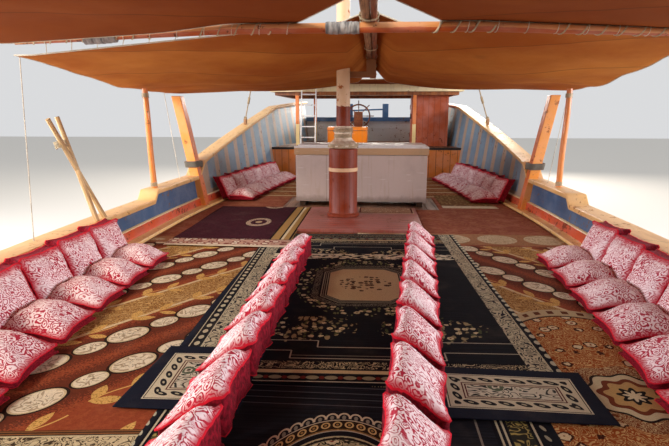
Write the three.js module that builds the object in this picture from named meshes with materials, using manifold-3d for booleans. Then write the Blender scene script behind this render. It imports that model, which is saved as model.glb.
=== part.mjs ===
// A wooden Gulf dhow fitted out for passengers: planked hull with a raked stem and a square stern,
// low waist bulwarks that step up towards a raised poop, one mast, a bare lateen yard, canvas awnings
// on a light pole frame, and a carpeted deck with rows of floor cushions round an insulated ice chest.
//
// Millimetres. +Z is up and z = 0 is the waterline. The bow points to -Y, the stern to +Y, and x = 0 is
// the centre line. Port is +X, because a person on the foredeck who looks aft has port on the right.

import * as THREE from "three";
import { mergeVertices } from "three/addons/utils/BufferGeometryUtils.js";
import Module from "manifold-3d";

const wasm = await Module();
wasm.setup();

// Driving dimensions of the hull
const STEM_Y = -11400; // fore end of the bulwarks
const MIDSHIP_Y = 1000; // widest section
const STERNPOST_Y = 9900; // heel of the sternpost, on the keel
const HALF_BEAM = 3120; // outside of the planking at the rail
const KEEL_HALF = 100; // half the width of keel, stem and sternpost
const FOREFOOT_Y = -7200; // where the keel starts to curve up into the stem
const KEEL_FORE_Z = -1350;
const KEEL_AFT_Z = -1500;
const STEM_RISE = 4000; // from the forefoot up to the stem head
const STERN_RAKE = 0.3; // millimetres aft for each millimetre up
const RAKE_FROM_Y = 5000; // stations aft of this lean with the transom
const PLANK = 100; // thickness of bulwark and transom
const TIMBER_DEPTH = 230; // keel, stem and sternpost stand this far out of the planking
const STERNPOST_HEAD = 2180; // under the rudder's yoke

// Decks and rails
const HULL_TOP = 1090; // underside of the main deck
const DECK = 1150;
const POOP = 1950;
const POOP_Y = 7200; // break of the poop
const WAIST_RAIL = 1530;
const BOW_RAIL_RISE = 1150;
const BOW_RAIL_FROM_Y = -5200;
const GANGWAY_RAIL = 1660; // a little higher beside the mast
const GANGWAY_FROM_Y = 300;
const GANGWAY_TO_Y = 420;
const STEP_FROM_Y = 2250; // the rail steps up here, in an S-shaped knee
const STEP_TO_Y = 2650;
const AFT_RAIL = 1930;
const AFT_RAIL_SLOPE = 0.198;
const STERN_RAIL_FROM_Y = 8000; // from here aft the rail rises less
const STERN_RAIL_SLOPE = 0.06;
const CAP_HALF = 140; // half the width of the cap rail
const CAP_THICK = 70;
const FIT = 0.5; // gap between pieces that are fitted to each other

// Screw, half the size of the opening that it works in, and the thickness of the post before it
const SCREW = { y: 9480, z: -760, r: 430, gapY: 270, gapZ: 500, post: 120 };

// Rig and awning frame
const MAST_X = -250;
const MAST_Y = 1400;
const MAST_HEAD = 9600;
const MAST_RAKE = 0.05; // forward, for each millimetre up
const CASING_R = 230;
const CASING_TOP = DECK + 1140;
const SPAR_TOP = 3668; // top of the cross spar, on which the ridge pole lies
const SPAR_R = 48;
const SPAR_Y = -1800;
const SPAR_KNEE = 1200; // from here outboard the spar droops
const SPAR_END = 3350;
const SPAR_DROOP = 110;
const RIDGE_R = 45;
const RIDGE_X = 150;
const SIDE_POLE_R = 32;
const CANVAS = 12;

// Furniture
const CARPET = 10;
const CUSHION = 620; // the cushions are square
const CHEST = { x0: -1180, x1: 1200, y0: 2450, y1: 3400, wall: 60, top: DECK + 950, lid: 150, skid: 100 };
const PLATFORM = { x0: -850, x1: 980, y0: 300, y1: 2180, thick: 45 };
const ROOF = { half: 2560, y0: 7180, y1: 10480, under: 3420, thick: 40, board: 3610 };
const CUBICLE = { x0: 1330, x1: 2280, y0: 7950, y1: 9150, wall: 30, top: 3400 };

// Every material of the boat, by the name of its finish
const finishes = {
  bottom_paint: ["#8a3b2a", 0.8, 0],
  topside_wood: ["#8d5a2e", 0.7, 0],
  deck_wood: ["#8a5a3c", 0.75, 0],
  orange_paint: ["#d9762a", 0.5, 0],
  cream_paint: ["#e8cf8e", 0.5, 0],
  blue_paint: ["#2f5f86", 0.55, 0],
  brown_paint: ["#8a3d22", 0.5, 0],
  rope: ["#b9a98c", 0.9, 0],
  pole_wood: ["#b98a5e", 0.6, 0],
  canvas: ["#a5682f", 0.9, 0],
  chest_white: ["#d8cfc6", 0.5, 0],
  aluminium: ["#d8dadb", 0.35, 0.9],
  bronze: ["#9a7434", 0.4, 0.9],
  orange_box: ["#f08a1c", 0.5, 0],
  cushion: ["#d98f94", 0.95, 0],
  carpet_dark: ["#1b1a22", 1, 0],
  carpet_rust: ["#9a5330", 1, 0],
};

const material = Object.fromEntries(
  Object.entries(finishes).map(([name, [color, roughness, metalness]]) => [
    name,
    new THREE.MeshStandardMaterial({ name, color, roughness, metalness }),
  ]),
);

// Solids: lofts, boxes, tubes and plates, joined and cut as manifolds

function toManifold(geometry) {
  const bare = geometry.index ? geometry.toNonIndexed() : geometry.clone();
  const clean = new THREE.BufferGeometry().setAttribute("position", bare.getAttribute("position"));
  const merged = mergeVertices(clean, 1e-3);
  return new wasm.Manifold(
    new wasm.Mesh({
      numProp: 3,
      vertProperties: merged.attributes.position.array,
      triVerts: new Uint32Array(merged.index.array),
    }),
  );
}

function toGeometry(manifold) {
  const mesh = manifold.getMesh();
  const points = new Float32Array(mesh.numVert * 3);
  for (let i = 0; i < mesh.numVert; i++) {
    points.set(mesh.vertProperties.subarray(i * mesh.numProp, i * mesh.numProp + 3), i * 3);
  }
  const geometry = new THREE.BufferGeometry();
  geometry.setAttribute("position", new THREE.BufferAttribute(points, 3));
  geometry.setIndex(new THREE.BufferAttribute(mesh.triVerts, 1));
  return geometry;
}

function join(...solids) {
  return solids.reduce((whole, next) => whole.add(next));
}

// Triangles of a flat outline in space, projected along its own normal.
function capTriangles(outline) {
  const normal = new THREE.Vector3();
  outline.forEach((p, i) => {
    const q = outline[(i + 1) % outline.length];
    normal.x += (p[1] - q[1]) * (p[2] + q[2]);
    normal.y += (p[2] - q[2]) * (p[0] + q[0]);
    normal.z += (p[0] - q[0]) * (p[1] + q[1]);
  });
  const size = normal.toArray().map(Math.abs);
  const drop = size.indexOf(Math.max(...size));
  const keep = [0, 1, 2].filter((axis) => axis !== drop);
  const flat = outline.map((p) => new THREE.Vector2(p[keep[0]], p[keep[1]]));
  const turned = THREE.ShapeUtils.isClockWise(flat);
  const order = flat.map((_, i) => (turned ? flat.length - 1 - i : i));
  const triangles = THREE.ShapeUtils.triangulateShape(order.map((i) => flat[i]), []);
  return triangles.map((t) => t.map((i) => order[i])).map((t) => (turned ? [t[0], t[2], t[1]] : t));
}

// A solid through closed sections that all have the same number of points.
function loft(sections) {
  const count = sections[0].length;
  const last = sections.length - 1;
  const index = [];
  for (let s = 0; s < last; s++) {
    for (let i = 0; i < count; i++) {
      const a = s * count + i;
      const b = s * count + ((i + 1) % count);
      index.push(a, b, a + count, b, b + count, a + count);
    }
  }
  // The sides leave the first section's outline in order, so its cap runs against that order.
  const signed = capTriangles(sections[0]);
  const along = new Set(sections[0].map((_, i) => `${i},${(i + 1) % count}`));
  const forward = signed.some((t) => t.some((i, k) => along.has(`${i},${t[(k + 1) % 3]}`)));
  for (const t of signed) {
    index.push(...(forward ? [t[0], t[2], t[1]] : t));
  }
  const endCap = capTriangles(sections[last]);
  const endForward = endCap.some((t) => t.some((i, k) => along.has(`${i},${t[(k + 1) % 3]}`)));
  for (const t of endCap) {
    const turned = endForward ? t : [t[0], t[2], t[1]];
    index.push(...turned.map((i) => i + last * count));
  }
  const points = new Float32Array(sections.flat(2));
  const made = (order) => {
    const geometry = new THREE.BufferGeometry();
    geometry.setAttribute("position", new THREE.BufferAttribute(points, 3));
    geometry.setIndex(order);
    return toManifold(geometry);
  };
  const solid = made(index);
  if (solid.volume() > 0) return solid;
  const reversed = [];
  for (let i = 0; i < index.length; i += 3) reversed.push(index[i], index[i + 2], index[i + 1]);
  return made(reversed);
}

function box(x0, x1, y0, y1, z0, z1) {
  const geometry = new THREE.BoxGeometry(x1 - x0, y1 - y0, z1 - z0);
  geometry.translate((x0 + x1) / 2, (y0 + y1) / 2, (z0 + z1) / 2);
  return toManifold(geometry);
}

// A round bar through a list of [x, y, z, radius], whose flats lie on the radius.
function bar(stations, sides = 8) {
  const points = stations.map((s) => new THREE.Vector3(s[0], s[1], s[2]));
  const sections = stations.map((s, k) => {
    const before = points[Math.max(k - 1, 0)];
    const after = points[Math.min(k + 1, points.length - 1)];
    const along = after.clone().sub(before).normalize();
    const level = Math.abs(along.z) > 0.7 ? new THREE.Vector3(0, 1, 0) : new THREE.Vector3(0, 0, 1);
    const u = new THREE.Vector3().crossVectors(level, along).normalize();
    const v = new THREE.Vector3().crossVectors(along, u);
    return Array.from({ length: sides }, (_, i) => {
      const a = ((i + 0.5) * 2 * Math.PI) / sides;
      const r = s[3] / Math.cos(Math.PI / sides);
      const p = points[k].clone().addScaledVector(u, r * Math.cos(a)).addScaledVector(v, r * Math.sin(a));
      return p.toArray();
    });
  });
  return loft(sections);
}

// An upright round pole through a list of [x, y, z, radius], with its ends cut level.
function pole(stations, sides = 12) {
  return loft(
    stations.map(([x, y, z, radius]) =>
      Array.from({ length: sides }, (_, i) => {
        const a = ((i + 0.5) * 2 * Math.PI) / sides;
        const r = radius / Math.cos(Math.PI / sides);
        return [x + r * Math.cos(a), y + r * Math.sin(a), z];
      }),
    ),
  );
}

// A bar of rectangular section between two points: half widths along x and across.
function beam(from, to, halfX, halfY) {
  const corner = ([x, y, z]) => [
    [x - halfX, y - halfY, z],
    [x + halfX, y - halfY, z],
    [x + halfX, y + halfY, z],
    [x - halfX, y + halfY, z],
  ];
  return loft([corner(from), corner(to)]);
}

// A flat plate from an outline of [a, b] points, thick along the third axis.
function plate(outline, axis, from, to) {
  const at = {
    x: (t) => outline.map(([a, b]) => [t, a, b]),
    y: (t) => outline.map(([a, b]) => [a, t, b]),
    z: (t) => outline.map(([a, b]) => [a, b, t]),
  }[axis];
  return loft([at(from), at(to)]);
}

function turned(profile, x, y, sides = 24) {
  const geometry = new THREE.LatheGeometry(profile.map(([r, z]) => new THREE.Vector2(r, z)), sides);
  geometry.rotateX(Math.PI / 2);
  geometry.translate(x, y, 0);
  const solid = toManifold(geometry);
  return solid.volume() > 0 ? solid : toManifold(flipped(geometry));
}

function flipped(geometry) {
  const bare = geometry.index ? geometry.toNonIndexed() : geometry;
  const p = bare.attributes.position;
  for (let i = 0; i < p.count; i += 3) {
    for (let k = 0; k < 3; k++) {
      const keep = p.array[(i + 1) * 3 + k];
      p.array[(i + 1) * 3 + k] = p.array[(i + 2) * 3 + k];
      p.array[(i + 2) * 3 + k] = keep;
    }
  }
  return bare;
}

const parts = new THREE.Group();
parts.name = "dhow";

function add(name, finish, solid) {
  const mesh = new THREE.Mesh(toGeometry(solid), material[finish]);
  mesh.name = name;
  parts.add(mesh);
  return mesh;
}

const PORT = 1;
const STARBOARD = -1;
const SIDES = [["port", PORT], ["starboard", STARBOARD]];
const lerp = THREE.MathUtils.lerp;
const clamp = THREE.MathUtils.clamp;
const smooth = (t) => THREE.MathUtils.smoothstep(t, 0, 1);

// The lines of the hull. A station is named by its y at the keel.

function keelZ(station) {
  const straight = lerp(KEEL_FORE_Z, KEEL_AFT_Z, (station - FOREFOOT_Y) / (STERNPOST_Y - FOREFOOT_Y));
  if (station >= FOREFOOT_Y) return straight;
  return KEEL_FORE_Z + STEM_RISE * ((FOREFOOT_Y - station) / 4300) ** 1.7;
}

function halfBeam(station) {
  if (station < MIDSHIP_Y) {
    const s = clamp((MIDSHIP_Y - station) / (MIDSHIP_Y - STEM_Y), 0, 1);
    return HALF_BEAM * (1 - s ** 3) ** 0.75;
  }
  const s = (station - MIDSHIP_Y) / (STERNPOST_Y - MIDSHIP_Y);
  return HALF_BEAM * (1 - 0.27 * s ** 2.2);
}

function stationY(station, z) {
  const lean = clamp((station - RAKE_FROM_Y) / (STERNPOST_Y - RAKE_FROM_Y), 0, 1);
  return station + STERN_RAKE * lean ** 1.5 * (z - KEEL_AFT_Z);
}

function railZ(y) {
  if (y < BOW_RAIL_FROM_Y) {
    return WAIST_RAIL + BOW_RAIL_RISE * ((BOW_RAIL_FROM_Y - y) / (BOW_RAIL_FROM_Y - STEM_Y)) ** 1.7;
  }
  if (y < STEP_FROM_Y) {
    return lerp(WAIST_RAIL, GANGWAY_RAIL, clamp((y - GANGWAY_FROM_Y) / (GANGWAY_TO_Y - GANGWAY_FROM_Y), 0, 1));
  }
  if (y < STEP_TO_Y) return lerp(GANGWAY_RAIL, AFT_RAIL, smooth((y - STEP_FROM_Y) / (STEP_TO_Y - STEP_FROM_Y)));
  const rise = AFT_RAIL_SLOPE * (Math.min(y, STERN_RAIL_FROM_Y) - STEP_TO_Y);
  return AFT_RAIL + rise + STERN_RAIL_SLOPE * Math.max(0, y - STERN_RAIL_FROM_Y);
}

// Rail height over a station, where the station itself leans aft.
function stationRailZ(station) {
  let z = railZ(station);
  for (let i = 0; i < 6; i++) z = railZ(stationY(station, z));
  return z;
}

function hullHalf(station, z) {
  const low = keelZ(station);
  const aft = clamp((station - MIDSHIP_Y) / (STERNPOST_Y - MIDSHIP_Y), 0, 1);
  const fore = clamp((MIDSHIP_Y - station) / (MIDSHIP_Y - STEM_Y), 0, 1);
  const reference = station < BOW_RAIL_FROM_Y ? railZ(station) : lerp(WAIST_RAIL, HULL_TOP + 250, smooth(aft * 2));
  const w = clamp((z - low) / (reference - low), 0, 1);
  const round = (1 - (1 - w) ** 2.2) ** 0.6;
  const sharp = aft > 0 ? Math.max(0, (w - 0.42) / 0.58) ** 0.9 : w ** 1.1;
  const fullness = aft > 0 ? 1 - aft ** 1.3 : 1 - fore ** 1.5;
  return KEEL_HALF + Math.max(halfBeam(station) - KEEL_HALF, 0) * lerp(sharp, round, fullness);
}

// Above the deck edge the planking runs straight up to the rail.
function sideX(station, z) {
  const low = Math.max(HULL_TOP, keelZ(station) + FIT);
  const high = stationRailZ(station);
  const t = clamp((z - low) / (high - low), 0, 1);
  return lerp(hullHalf(station, low), hullHalf(station, high), t);
}

const insideX = (station, z) => Math.max(sideX(station, z) - PLANK, 1);

// The same by a true place along the boat, because the stations aft lean.
function insideAt(y, z) {
  let station = y;
  for (let i = 0; i < 8; i++) station = y - (stationY(station, z) - station);
  return insideX(station, z);
}

const HULL_STATIONS = [
  -10405, -10150, -9700, -9200, -8600, -8000, -7200, -6200, -5200, -4000, -2600, -1200, 300, 420, 1400,
  2250, 2350, 2450, 2550, 2650, 3600, 4800, 6000, 7000, 7800, 8500, 9100, 9500, 9900,
];
const BOW_STATIONS = [-11400, -11150, -10850];
const SECTION_STEPS = [0, 0.06, 0.14, 0.24, 0.36, 0.5, 0.64, 0.78, 0.9, 1];

function hull() {
  const sections = HULL_STATIONS.map((station) => {
    const low = keelZ(station);
    const side = SECTION_STEPS.map((t) => {
      const z = lerp(low, HULL_TOP, t);
      return [hullHalf(station, z), stationY(station, z), z];
    });
    const mirrored = side.map(([x, y, z]) => [-x, y, z]).reverse();
    return [...side, ...mirrored];
  });
  // The screw works in an opening of the deadwood, which is a fin of its own under the hull's run.
  const whole = loft(sections);
  const corners = [[-1, -0.5], [-0.6, -1], [0.6, -1], [1, -0.6], [1, 1.1], [-1, 1.1]];
  const opening = corners.map(([a, b]) => [SCREW.y + a * SCREW.gapY, SCREW.z + b * SCREW.gapZ]);
  const foreEnd = SCREW.y - SCREW.gapY - SCREW.post;
  const top = SCREW.z + SCREW.gapZ;
  const below = (grow) => box(-HALF_BEAM, HALF_BEAM, foreEnd - grow, STERNPOST_Y + 900, -2000, top + grow);
  add("hull", "bottom_paint", whole.subtract(below(FIT)));
  add("deadwood", "bottom_paint", whole.intersect(below(0)).subtract(plate(opening, "x", -1200, 1200)));
}

// Keel, stem and sternpost are one curved run of timber, outside the planking.
function backbone() {
  const stem = [...BOW_STATIONS, ...HULL_STATIONS.filter((y) => y <= FOREFOOT_Y)];
  const line = stem.map((y) => [y, keelZ(y)]);
  line.unshift([STEM_Y - 160, keelZ(STEM_Y) + 560]);
  for (const y of HULL_STATIONS.filter((s) => s > FOREFOOT_Y)) line.push([y, keelZ(y)]);
  for (const z of [-700, 200, HULL_TOP, 1700, STERNPOST_HEAD]) line.push([stationY(STERNPOST_Y, z), z]);
  const sections = line.map(([y, z], k) => {
    const before = line[Math.max(k - 1, 0)];
    const after = line[Math.min(k + 1, line.length - 1)];
    const in1 = new THREE.Vector2(y - before[0], z - before[1]).normalize();
    const in2 = new THREE.Vector2(after[0] - y, after[1] - z).normalize();
    const along = in1.clone().add(in2).normalize();
    const mitre = 1 / Math.max(0.5, k > 0 && k < line.length - 1 ? along.dot(in2) : 1);
    const out = [along.y * mitre, -along.x * mitre];
    const at = (d, x) => [x, y + out[0] * d, z + out[1] * d];
    const [near, far] = [FIT, TIMBER_DEPTH];
    return [at(near, -KEEL_HALF), at(near, KEEL_HALF), at(far, KEEL_HALF - 15), at(far, 15 - KEEL_HALF)];
  });
  const irons = GUDGEONS.map(([z, arm]) => {
    const [y] = rudderAxisAt(z);
    const ring = tiltedRing(z, 52, 80, 45);
    const strap = box(-26, 26, y - arm, y - 70, z - 35, z + 5);
    return strap.add(ring);
  });
  add("backbone", "topside_wood", join(loft(sections), ...irons));
}

// The rudder hangs on pintles in three rings, on an axis parallel to the sternpost.
const RUDDER_OFFSET = 320; // from the stern line to the axis, along y
const RUDDER_TILT = Math.atan(STERN_RAKE);
const GUDGEONS = [[-1050, 160], [150, 160], [1500, 160]];
const rudderAxisAt = (z) => [stationY(STERNPOST_Y, z) + RUDDER_OFFSET, z];

function alongRudderAxis(geometry, z) {
  const [y] = rudderAxisAt(z);
  geometry.rotateX(-RUDDER_TILT);
  geometry.translate(0, y, z);
  return toManifold(geometry);
}

function tiltedRing(z, inner, outer, height) {
  const half = height / 2;
  const profile = [[inner, -half], [outer, -half], [outer, half], [inner, half], [inner, -half]];
  const geometry = new THREE.LatheGeometry(profile.map(([r, h]) => new THREE.Vector2(r, h)), 16);
  geometry.rotateX(Math.PI / 2);
  const solid = alongRudderAxis(geometry, z);
  return solid.volume() > 0 ? solid : toManifold(flipped(geometry));
}

function tiltedDrum(z, radius, height) {
  const geometry = new THREE.CylinderGeometry(radius, radius, height, 16);
  geometry.rotateX(Math.PI / 2);
  return alongRudderAxis(geometry, z);
}

function rudder() {
  const chord = [[-1480, 980], [-1300, 1040], [-500, 930], [300, 640], [700, 420], [1150, 200], [2250, 120]];
  const aftEdge = chord.map(([z, c]) => [rudderAxisAt(z)[0] + c, z]);
  const foreEdge = [...chord].reverse().map(([z]) => [rudderAxisAt(z)[0], z]);
  const blade = plate([...aftEdge, ...foreEdge], "x", -42, 42);
  const clear = GUDGEONS.map(([z]) => tiltedDrum(z, 104, 110));
  const collars = GUDGEONS.map(([z]) => tiltedDrum(z + (22.5 + FIT + 15) * Math.cos(RUDDER_TILT), 70, 30));
  const length = (2400 + 1480) / Math.cos(RUDDER_TILT);
  const stock = tiltedDrum((2400 - 1480) / 2, 44, length);
  const [headY] = rudderAxisAt(2290);
  const yoke = box(-380, 380, headY - 45, headY + 45, 2240, 2320);
  add("rudder", "topside_wood", join(blade.subtract(join(...clear)), stock, yoke, ...collars));
}

function propeller() {
  const { y, z, r, gapY } = SCREW;
  const hub = new THREE.CylinderGeometry(62, 74, 190, 16);
  const shaft = new THREE.CylinderGeometry(34, 34, gapY - FIT, 12);
  shaft.translate(0, (FIT - gapY) / 2, 0);
  const outline = new THREE.Shape();
  outline.moveTo(-55, 40);
  outline.quadraticCurveTo(-200, 300, 0, r);
  outline.quadraticCurveTo(170, 300, 55, 40);
  const pieces = [toManifold(hub), toManifold(shaft)];
  for (let i = 0; i < 3; i++) {
    const blade = new THREE.ExtrudeGeometry(outline, { depth: 22, bevelEnabled: false, curveSegments: 6 });
    blade.translate(0, 0, -11);
    blade.rotateX(Math.PI / 2);
    blade.rotateZ(THREE.MathUtils.degToRad(35));
    blade.rotateY((i * 2 * Math.PI) / 3);
    pieces.push(toManifold(blade));
  }
  const mesh = add("propeller", "bronze", join(...pieces));
  mesh.position.set(0, y, z);
}

// Decks

function outlineAtDeck(stations, z, inset) {
  const edge = stations.map((s) => [insideX(s, z) - inset, stationY(s, z)]);
  return [...edge, ...edge.map(([x, y]) => [-x, y]).reverse()];
}

function decks() {
  const fore = [...HULL_STATIONS.filter((s) => s <= 9500), 9810];
  add("main_deck", "deck_wood", plate(outlineAtDeck(fore, HULL_TOP, FIT), "z", HULL_TOP, DECK));
  const aft = [6000, 7000, 7800, 8500, 9100, 9500, 9810];
  const sides = join(...SIDES.map(([, side]) => bulwark(side, FIT)));
  const within = (low, high, y1) =>
    loft([low, high].map((z) => outlineAtDeck(aft, z, -30).map(([x, y]) => [x, y, z])))
      .intersect(box(-4000, 4000, POOP_Y, y1, low - 1, high + 1))
      .subtract(sides);
  add("poop_deck", "deck_wood", within(POOP - 60, POOP, 12000));
  add("poop_front", "orange_paint", within(DECK, POOP - 60, POOP_Y + 60));
}

// Bulwarks, cap rails, wales and waterways, one of each to a side

const TOP_STATIONS = [...BOW_STATIONS, ...HULL_STATIONS];

function bulwark(side, grow = 0) {
  const sections = TOP_STATIONS.map((s) => {
    const low = Math.max(HULL_TOP, keelZ(s) + FIT);
    const high = stationRailZ(s);
    const outer = (z) => sideX(s, z) + grow;
    const inner = (z) => Math.max(insideX(s, z) - grow, 0.5);
    return [[low, outer], [low, inner], [high, inner], [high, outer]].map(([z, at]) => [
      side * at(z),
      stationY(s, z),
      z,
    ]);
  });
  return loft(sections);
}

function capRail(side) {
  const sections = TOP_STATIONS.map((s) => {
    const z = stationRailZ(s);
    const y = stationY(s, z);
    const middle = Math.max(sideX(s, z) - PLANK / 2, CAP_HALF + 1);
    return [
      [side * (middle - CAP_HALF), y, z + FIT],
      [side * (middle + CAP_HALF), y, z + FIT],
      [side * (middle + CAP_HALF), y, z + CAP_THICK],
      [side * (middle - CAP_HALF), y, z + CAP_THICK],
    ];
  });
  return loft(sections);
}

function wale(side) {
  const stations = TOP_STATIONS.filter((s) => s >= -10405);
  const sections = stations.map((s) =>
    [[HULL_TOP, -30], [HULL_TOP, 85], [HULL_TOP + 150, 85], [HULL_TOP + 150, -30]].map(([z, out]) => [
      side * (sideX(s, z) + out),
      stationY(s, z),
      z,
    ]),
  );
  return loft(sections);
}

// The waterway is a cream covering board on the deck with an orange batten up the bulwark.
function waterway(side) {
  const stations = [-9200, -8600, -8000, ...HULL_STATIONS.filter((s) => s > -8000 && s < 6500)];
  const profile = [[190, 0], [190, 38], [45, 38], [45, 180], [-30, 180], [-30, 0]];
  const sections = stations.map((s) =>
    profile.map(([inward, up]) => [side * (insideX(s, DECK + up) - inward), stationY(s, DECK + up), DECK + up]),
  );
  return loft(sections);
}

// Two heavy timbers side by side, leaning outboard, stand at the step of the rail.
function kingpost(side, grow = 0) {
  const lean = 0.19;
  const post = (x, y, top, half) => {
    const at = (z) => [side * (x + lean * (z - DECK)), y, z];
    return beam(at(grow ? DECK - 20 : DECK), at(top), half + grow, 95 + grow);
  };
  return join(post(2890, 2300, 3140, 84), post(2935, 2460, 2840, 78));
}

function rails() {
  for (const [name, side] of SIDES) {
    const room = kingpost(side, FIT);
    const planking = bulwark(side, FIT);
    add(`bulwark_${name}`, "topside_wood", bulwark(side).subtract(room));
    add(`cap_rail_${name}`, "cream_paint", capRail(side).subtract(room));
    add(`wale_${name}`, "orange_paint", wale(side).subtract(planking));
    add(`waterway_${name}`, "cream_paint", waterway(side).subtract(planking).subtract(room));
    add(`kingpost_${name}`, "orange_paint", kingpost(side));
  }
}

// The square stern: a raked transom, and a blue taffrail between two bitts

const TAFFRAIL_LOW = 2600;

function stern() {
  const levels = [HULL_TOP, 1500, POOP, TAFFRAIL_LOW];
  const at = (z, x, inset) => [x, stationY(STERNPOST_Y, z) - inset, z];
  const sections = levels.map((z) => {
    const x = insideX(STERNPOST_Y, z) - FIT - 1;
    return [at(z, -x, PLANK), at(z, x, PLANK), at(z, x, 0), at(z, -x, 0)];
  });
  add("transom", "topside_wood", loft(sections));
  const top = TAFFRAIL_LOW + FIT;
  const y = stationY(STERNPOST_Y, TAFFRAIL_LOW);
  const half = insideX(STERNPOST_Y, TAFFRAIL_LOW) - 8;
  const rail = box(-half, half, y - 160, y + 40, top, top + 140);
  const bitts = [-600, 600].map((x) => box(x - 100, x + 100, y - 150, y + 30, top, 3180));
  const handrail = bar([[-600, y - 60, 2960, 26], [600, y - 60, 3000, 26]]);
  add("taffrail", "blue_paint", join(rail, handrail, ...bitts));
}

// Mast, yard and shrouds

function mastAt(z) {
  return [MAST_X, MAST_Y - MAST_RAKE * Math.max(0, z - CASING_TOP), z];
}

function mast() {
  const z0 = DECK + PLATFORM.thick + FIT;
  const casing = turned(
    [[0, z0], [262, z0], [262, z0 + 50], [CASING_R, z0 + 70], [CASING_R, DECK + 780], [CASING_R + 5, DECK + 785],
      [CASING_R + 5, DECK + 825], [CASING_R, DECK + 830], [CASING_R, CASING_TOP], [0, CASING_TOP]],
    MAST_X,
    MAST_Y,
  );
  const heights = [[CASING_TOP - 30, 115], [CASING_TOP + 30, 115], [3200, 106], [6000, 92], [MAST_HEAD, 74]];
  const spar = pole(heights.map(([z, r]) => [...mastAt(z), r]), 16);
  const hounds = mastRing([[0, -40], [98, -40], [98, 0], [0, 0]], YARD.z - YARD.collar / 2 - FIT);
  const [x, y] = mastAt(MAST_HEAD);
  const head = box(x - 95, x + 95, y - 75, y + 75, MAST_HEAD - 20, MAST_HEAD + 260);
  const sheave = box(x - 28, x + 28, y - 120, y + 120, MAST_HEAD + 60, MAST_HEAD + 190);
  add("mast", "brown_paint", join(casing, spar, hounds, head.subtract(sheave)));
}

// A ring or drum turned about the raked mast, at a height on it.
function mastRing(profile, z) {
  const geometry = new THREE.LatheGeometry(profile.map(([r, h]) => new THREE.Vector2(r, h)), 20);
  geometry.rotateX(Math.PI / 2 + Math.atan(MAST_RAKE));
  geometry.translate(...mastAt(z));
  const solid = toManifold(geometry);
  return solid.volume() > 0 ? solid : toManifold(flipped(geometry));
}

// Rope and sacking bound round the foot of the mast, over the top of the casing.
function mastWrap() {
  const low = CASING_TOP + FIT;
  const [, y] = mastAt(CASING_TOP + 180);
  const profile = [[132, low], [236, low], [236, low + 60], [170, low + 130], [142, low + 165], [156, low + 215],
    [168, low + 265], [152, low + 320], [132, low + 350], [132, low]];
  add("mast_wrap", "rope", turned(profile, MAST_X, y, 20));
}

// The yard hangs beside the mast, to port of it, by a collar that can turn round the mast.
const YARD = { z: 9200, fore: 5000, aft: 8600, peak: THREE.MathUtils.degToRad(30), r: 88, out: 182, collar: 120 };

function yard() {
  const [mastX, y] = mastAt(YARD.z);
  const x = mastX + YARD.out;
  const at = (d, r) => [x, y + d * Math.cos(YARD.peak), YARD.z + d * Math.sin(YARD.peak), r];
  const stations = [[-YARD.fore, 45], [-2500, 72], [-1200, YARD.r], [1500, YARD.r], [4200, 70], [YARD.aft, 38]];
  const spar = bar(stations.map(([d, r]) => at(d, r)), 12);
  const half = YARD.collar / 2;
  const collar = mastRing([[84, -half], [114, -half], [114, half], [84, half], [84, -half]], YARD.z);
  add("yard", "pole_wood", spar.add(collar));
}

function shrouds() {
  for (const [name, side] of SIDES) {
    const top = mastAt(YARD.z - 200);
    const [x, y] = [side * 2870, 5600];
    const seat = (at, up) => [x, at, railZ(at) + CAP_THICK + up];
    const block = loft(
      [y - 45, y + 45].map((at) => [[-35, FIT], [35, FIT], [35, 150], [-35, 150]].map(([w, up]) => {
        const [sx, sy, sz] = seat(at, up);
        return [sx + w, sy, sz];
      })),
    );
    const rope = bar([[top[0] + side * 96, top[1] + 20, top[2], 14], [...seat(y, 110), 14]]);
    add(`shroud_${name}`, "rope", rope.add(block));
  }
}

// The awning frame: a ridge of two poles, a cross spar under it, and what carries them

const sparTopZ = (x) => SPAR_TOP - SPAR_DROOP * clamp((Math.abs(x) - SPAR_KNEE) / (SPAR_END - SPAR_KNEE), 0, 1);

function awningFrame() {
  const z = SPAR_TOP + RIDGE_R + FIT;
  add("ridge_pole", "pole_wood", bar([[RIDGE_X, -9300, z, RIDGE_R], [RIDGE_X, 7650, z, RIDGE_R]], 12));
  const beside = RIDGE_X + RIDGE_R + SIDE_POLE_R + FIT;
  const sideZ = SPAR_TOP + SIDE_POLE_R + FIT;
  add("ridge_side_pole", "brown_paint", bar([[beside, -6400, sideZ, SIDE_POLE_R], [beside, 7500, sideZ, SIDE_POLE_R]], 12));
  // The spar is a natural pole that thins and droops towards its ends.
  const radii = [[-SPAR_END, 30], [-SPAR_KNEE, SPAR_R], [SPAR_KNEE, SPAR_R], [SPAR_END, 30]];
  add("cross_spar", "pole_wood", bar(radii.map(([x, r]) => [x, SPAR_Y, sparTopZ(x) - r, r]), 12));
  // The bearer is bolted across the after face of the mast, and an upright on it carries the ridge.
  const bearerTop = SPAR_TOP - 190;
  const [, mastY] = mastAt(bearerTop - 90);
  const face = mastY + 105.5 + FIT;
  const arm = box(MAST_X - 60, RIDGE_X + 110, face, face + 80, bearerTop - 90, bearerTop);
  const upright = box(RIDGE_X - 45, RIDGE_X + 105, face, face + 80, bearerTop - 10, SPAR_TOP);
  add("ridge_bearer", "pole_wood", arm.add(upright));
  const post = box(RIDGE_X - 45, RIDGE_X + 45, -9045, -8955, DECK, SPAR_TOP);
  add("fore_crutch", "pole_wood", post);
}

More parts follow.
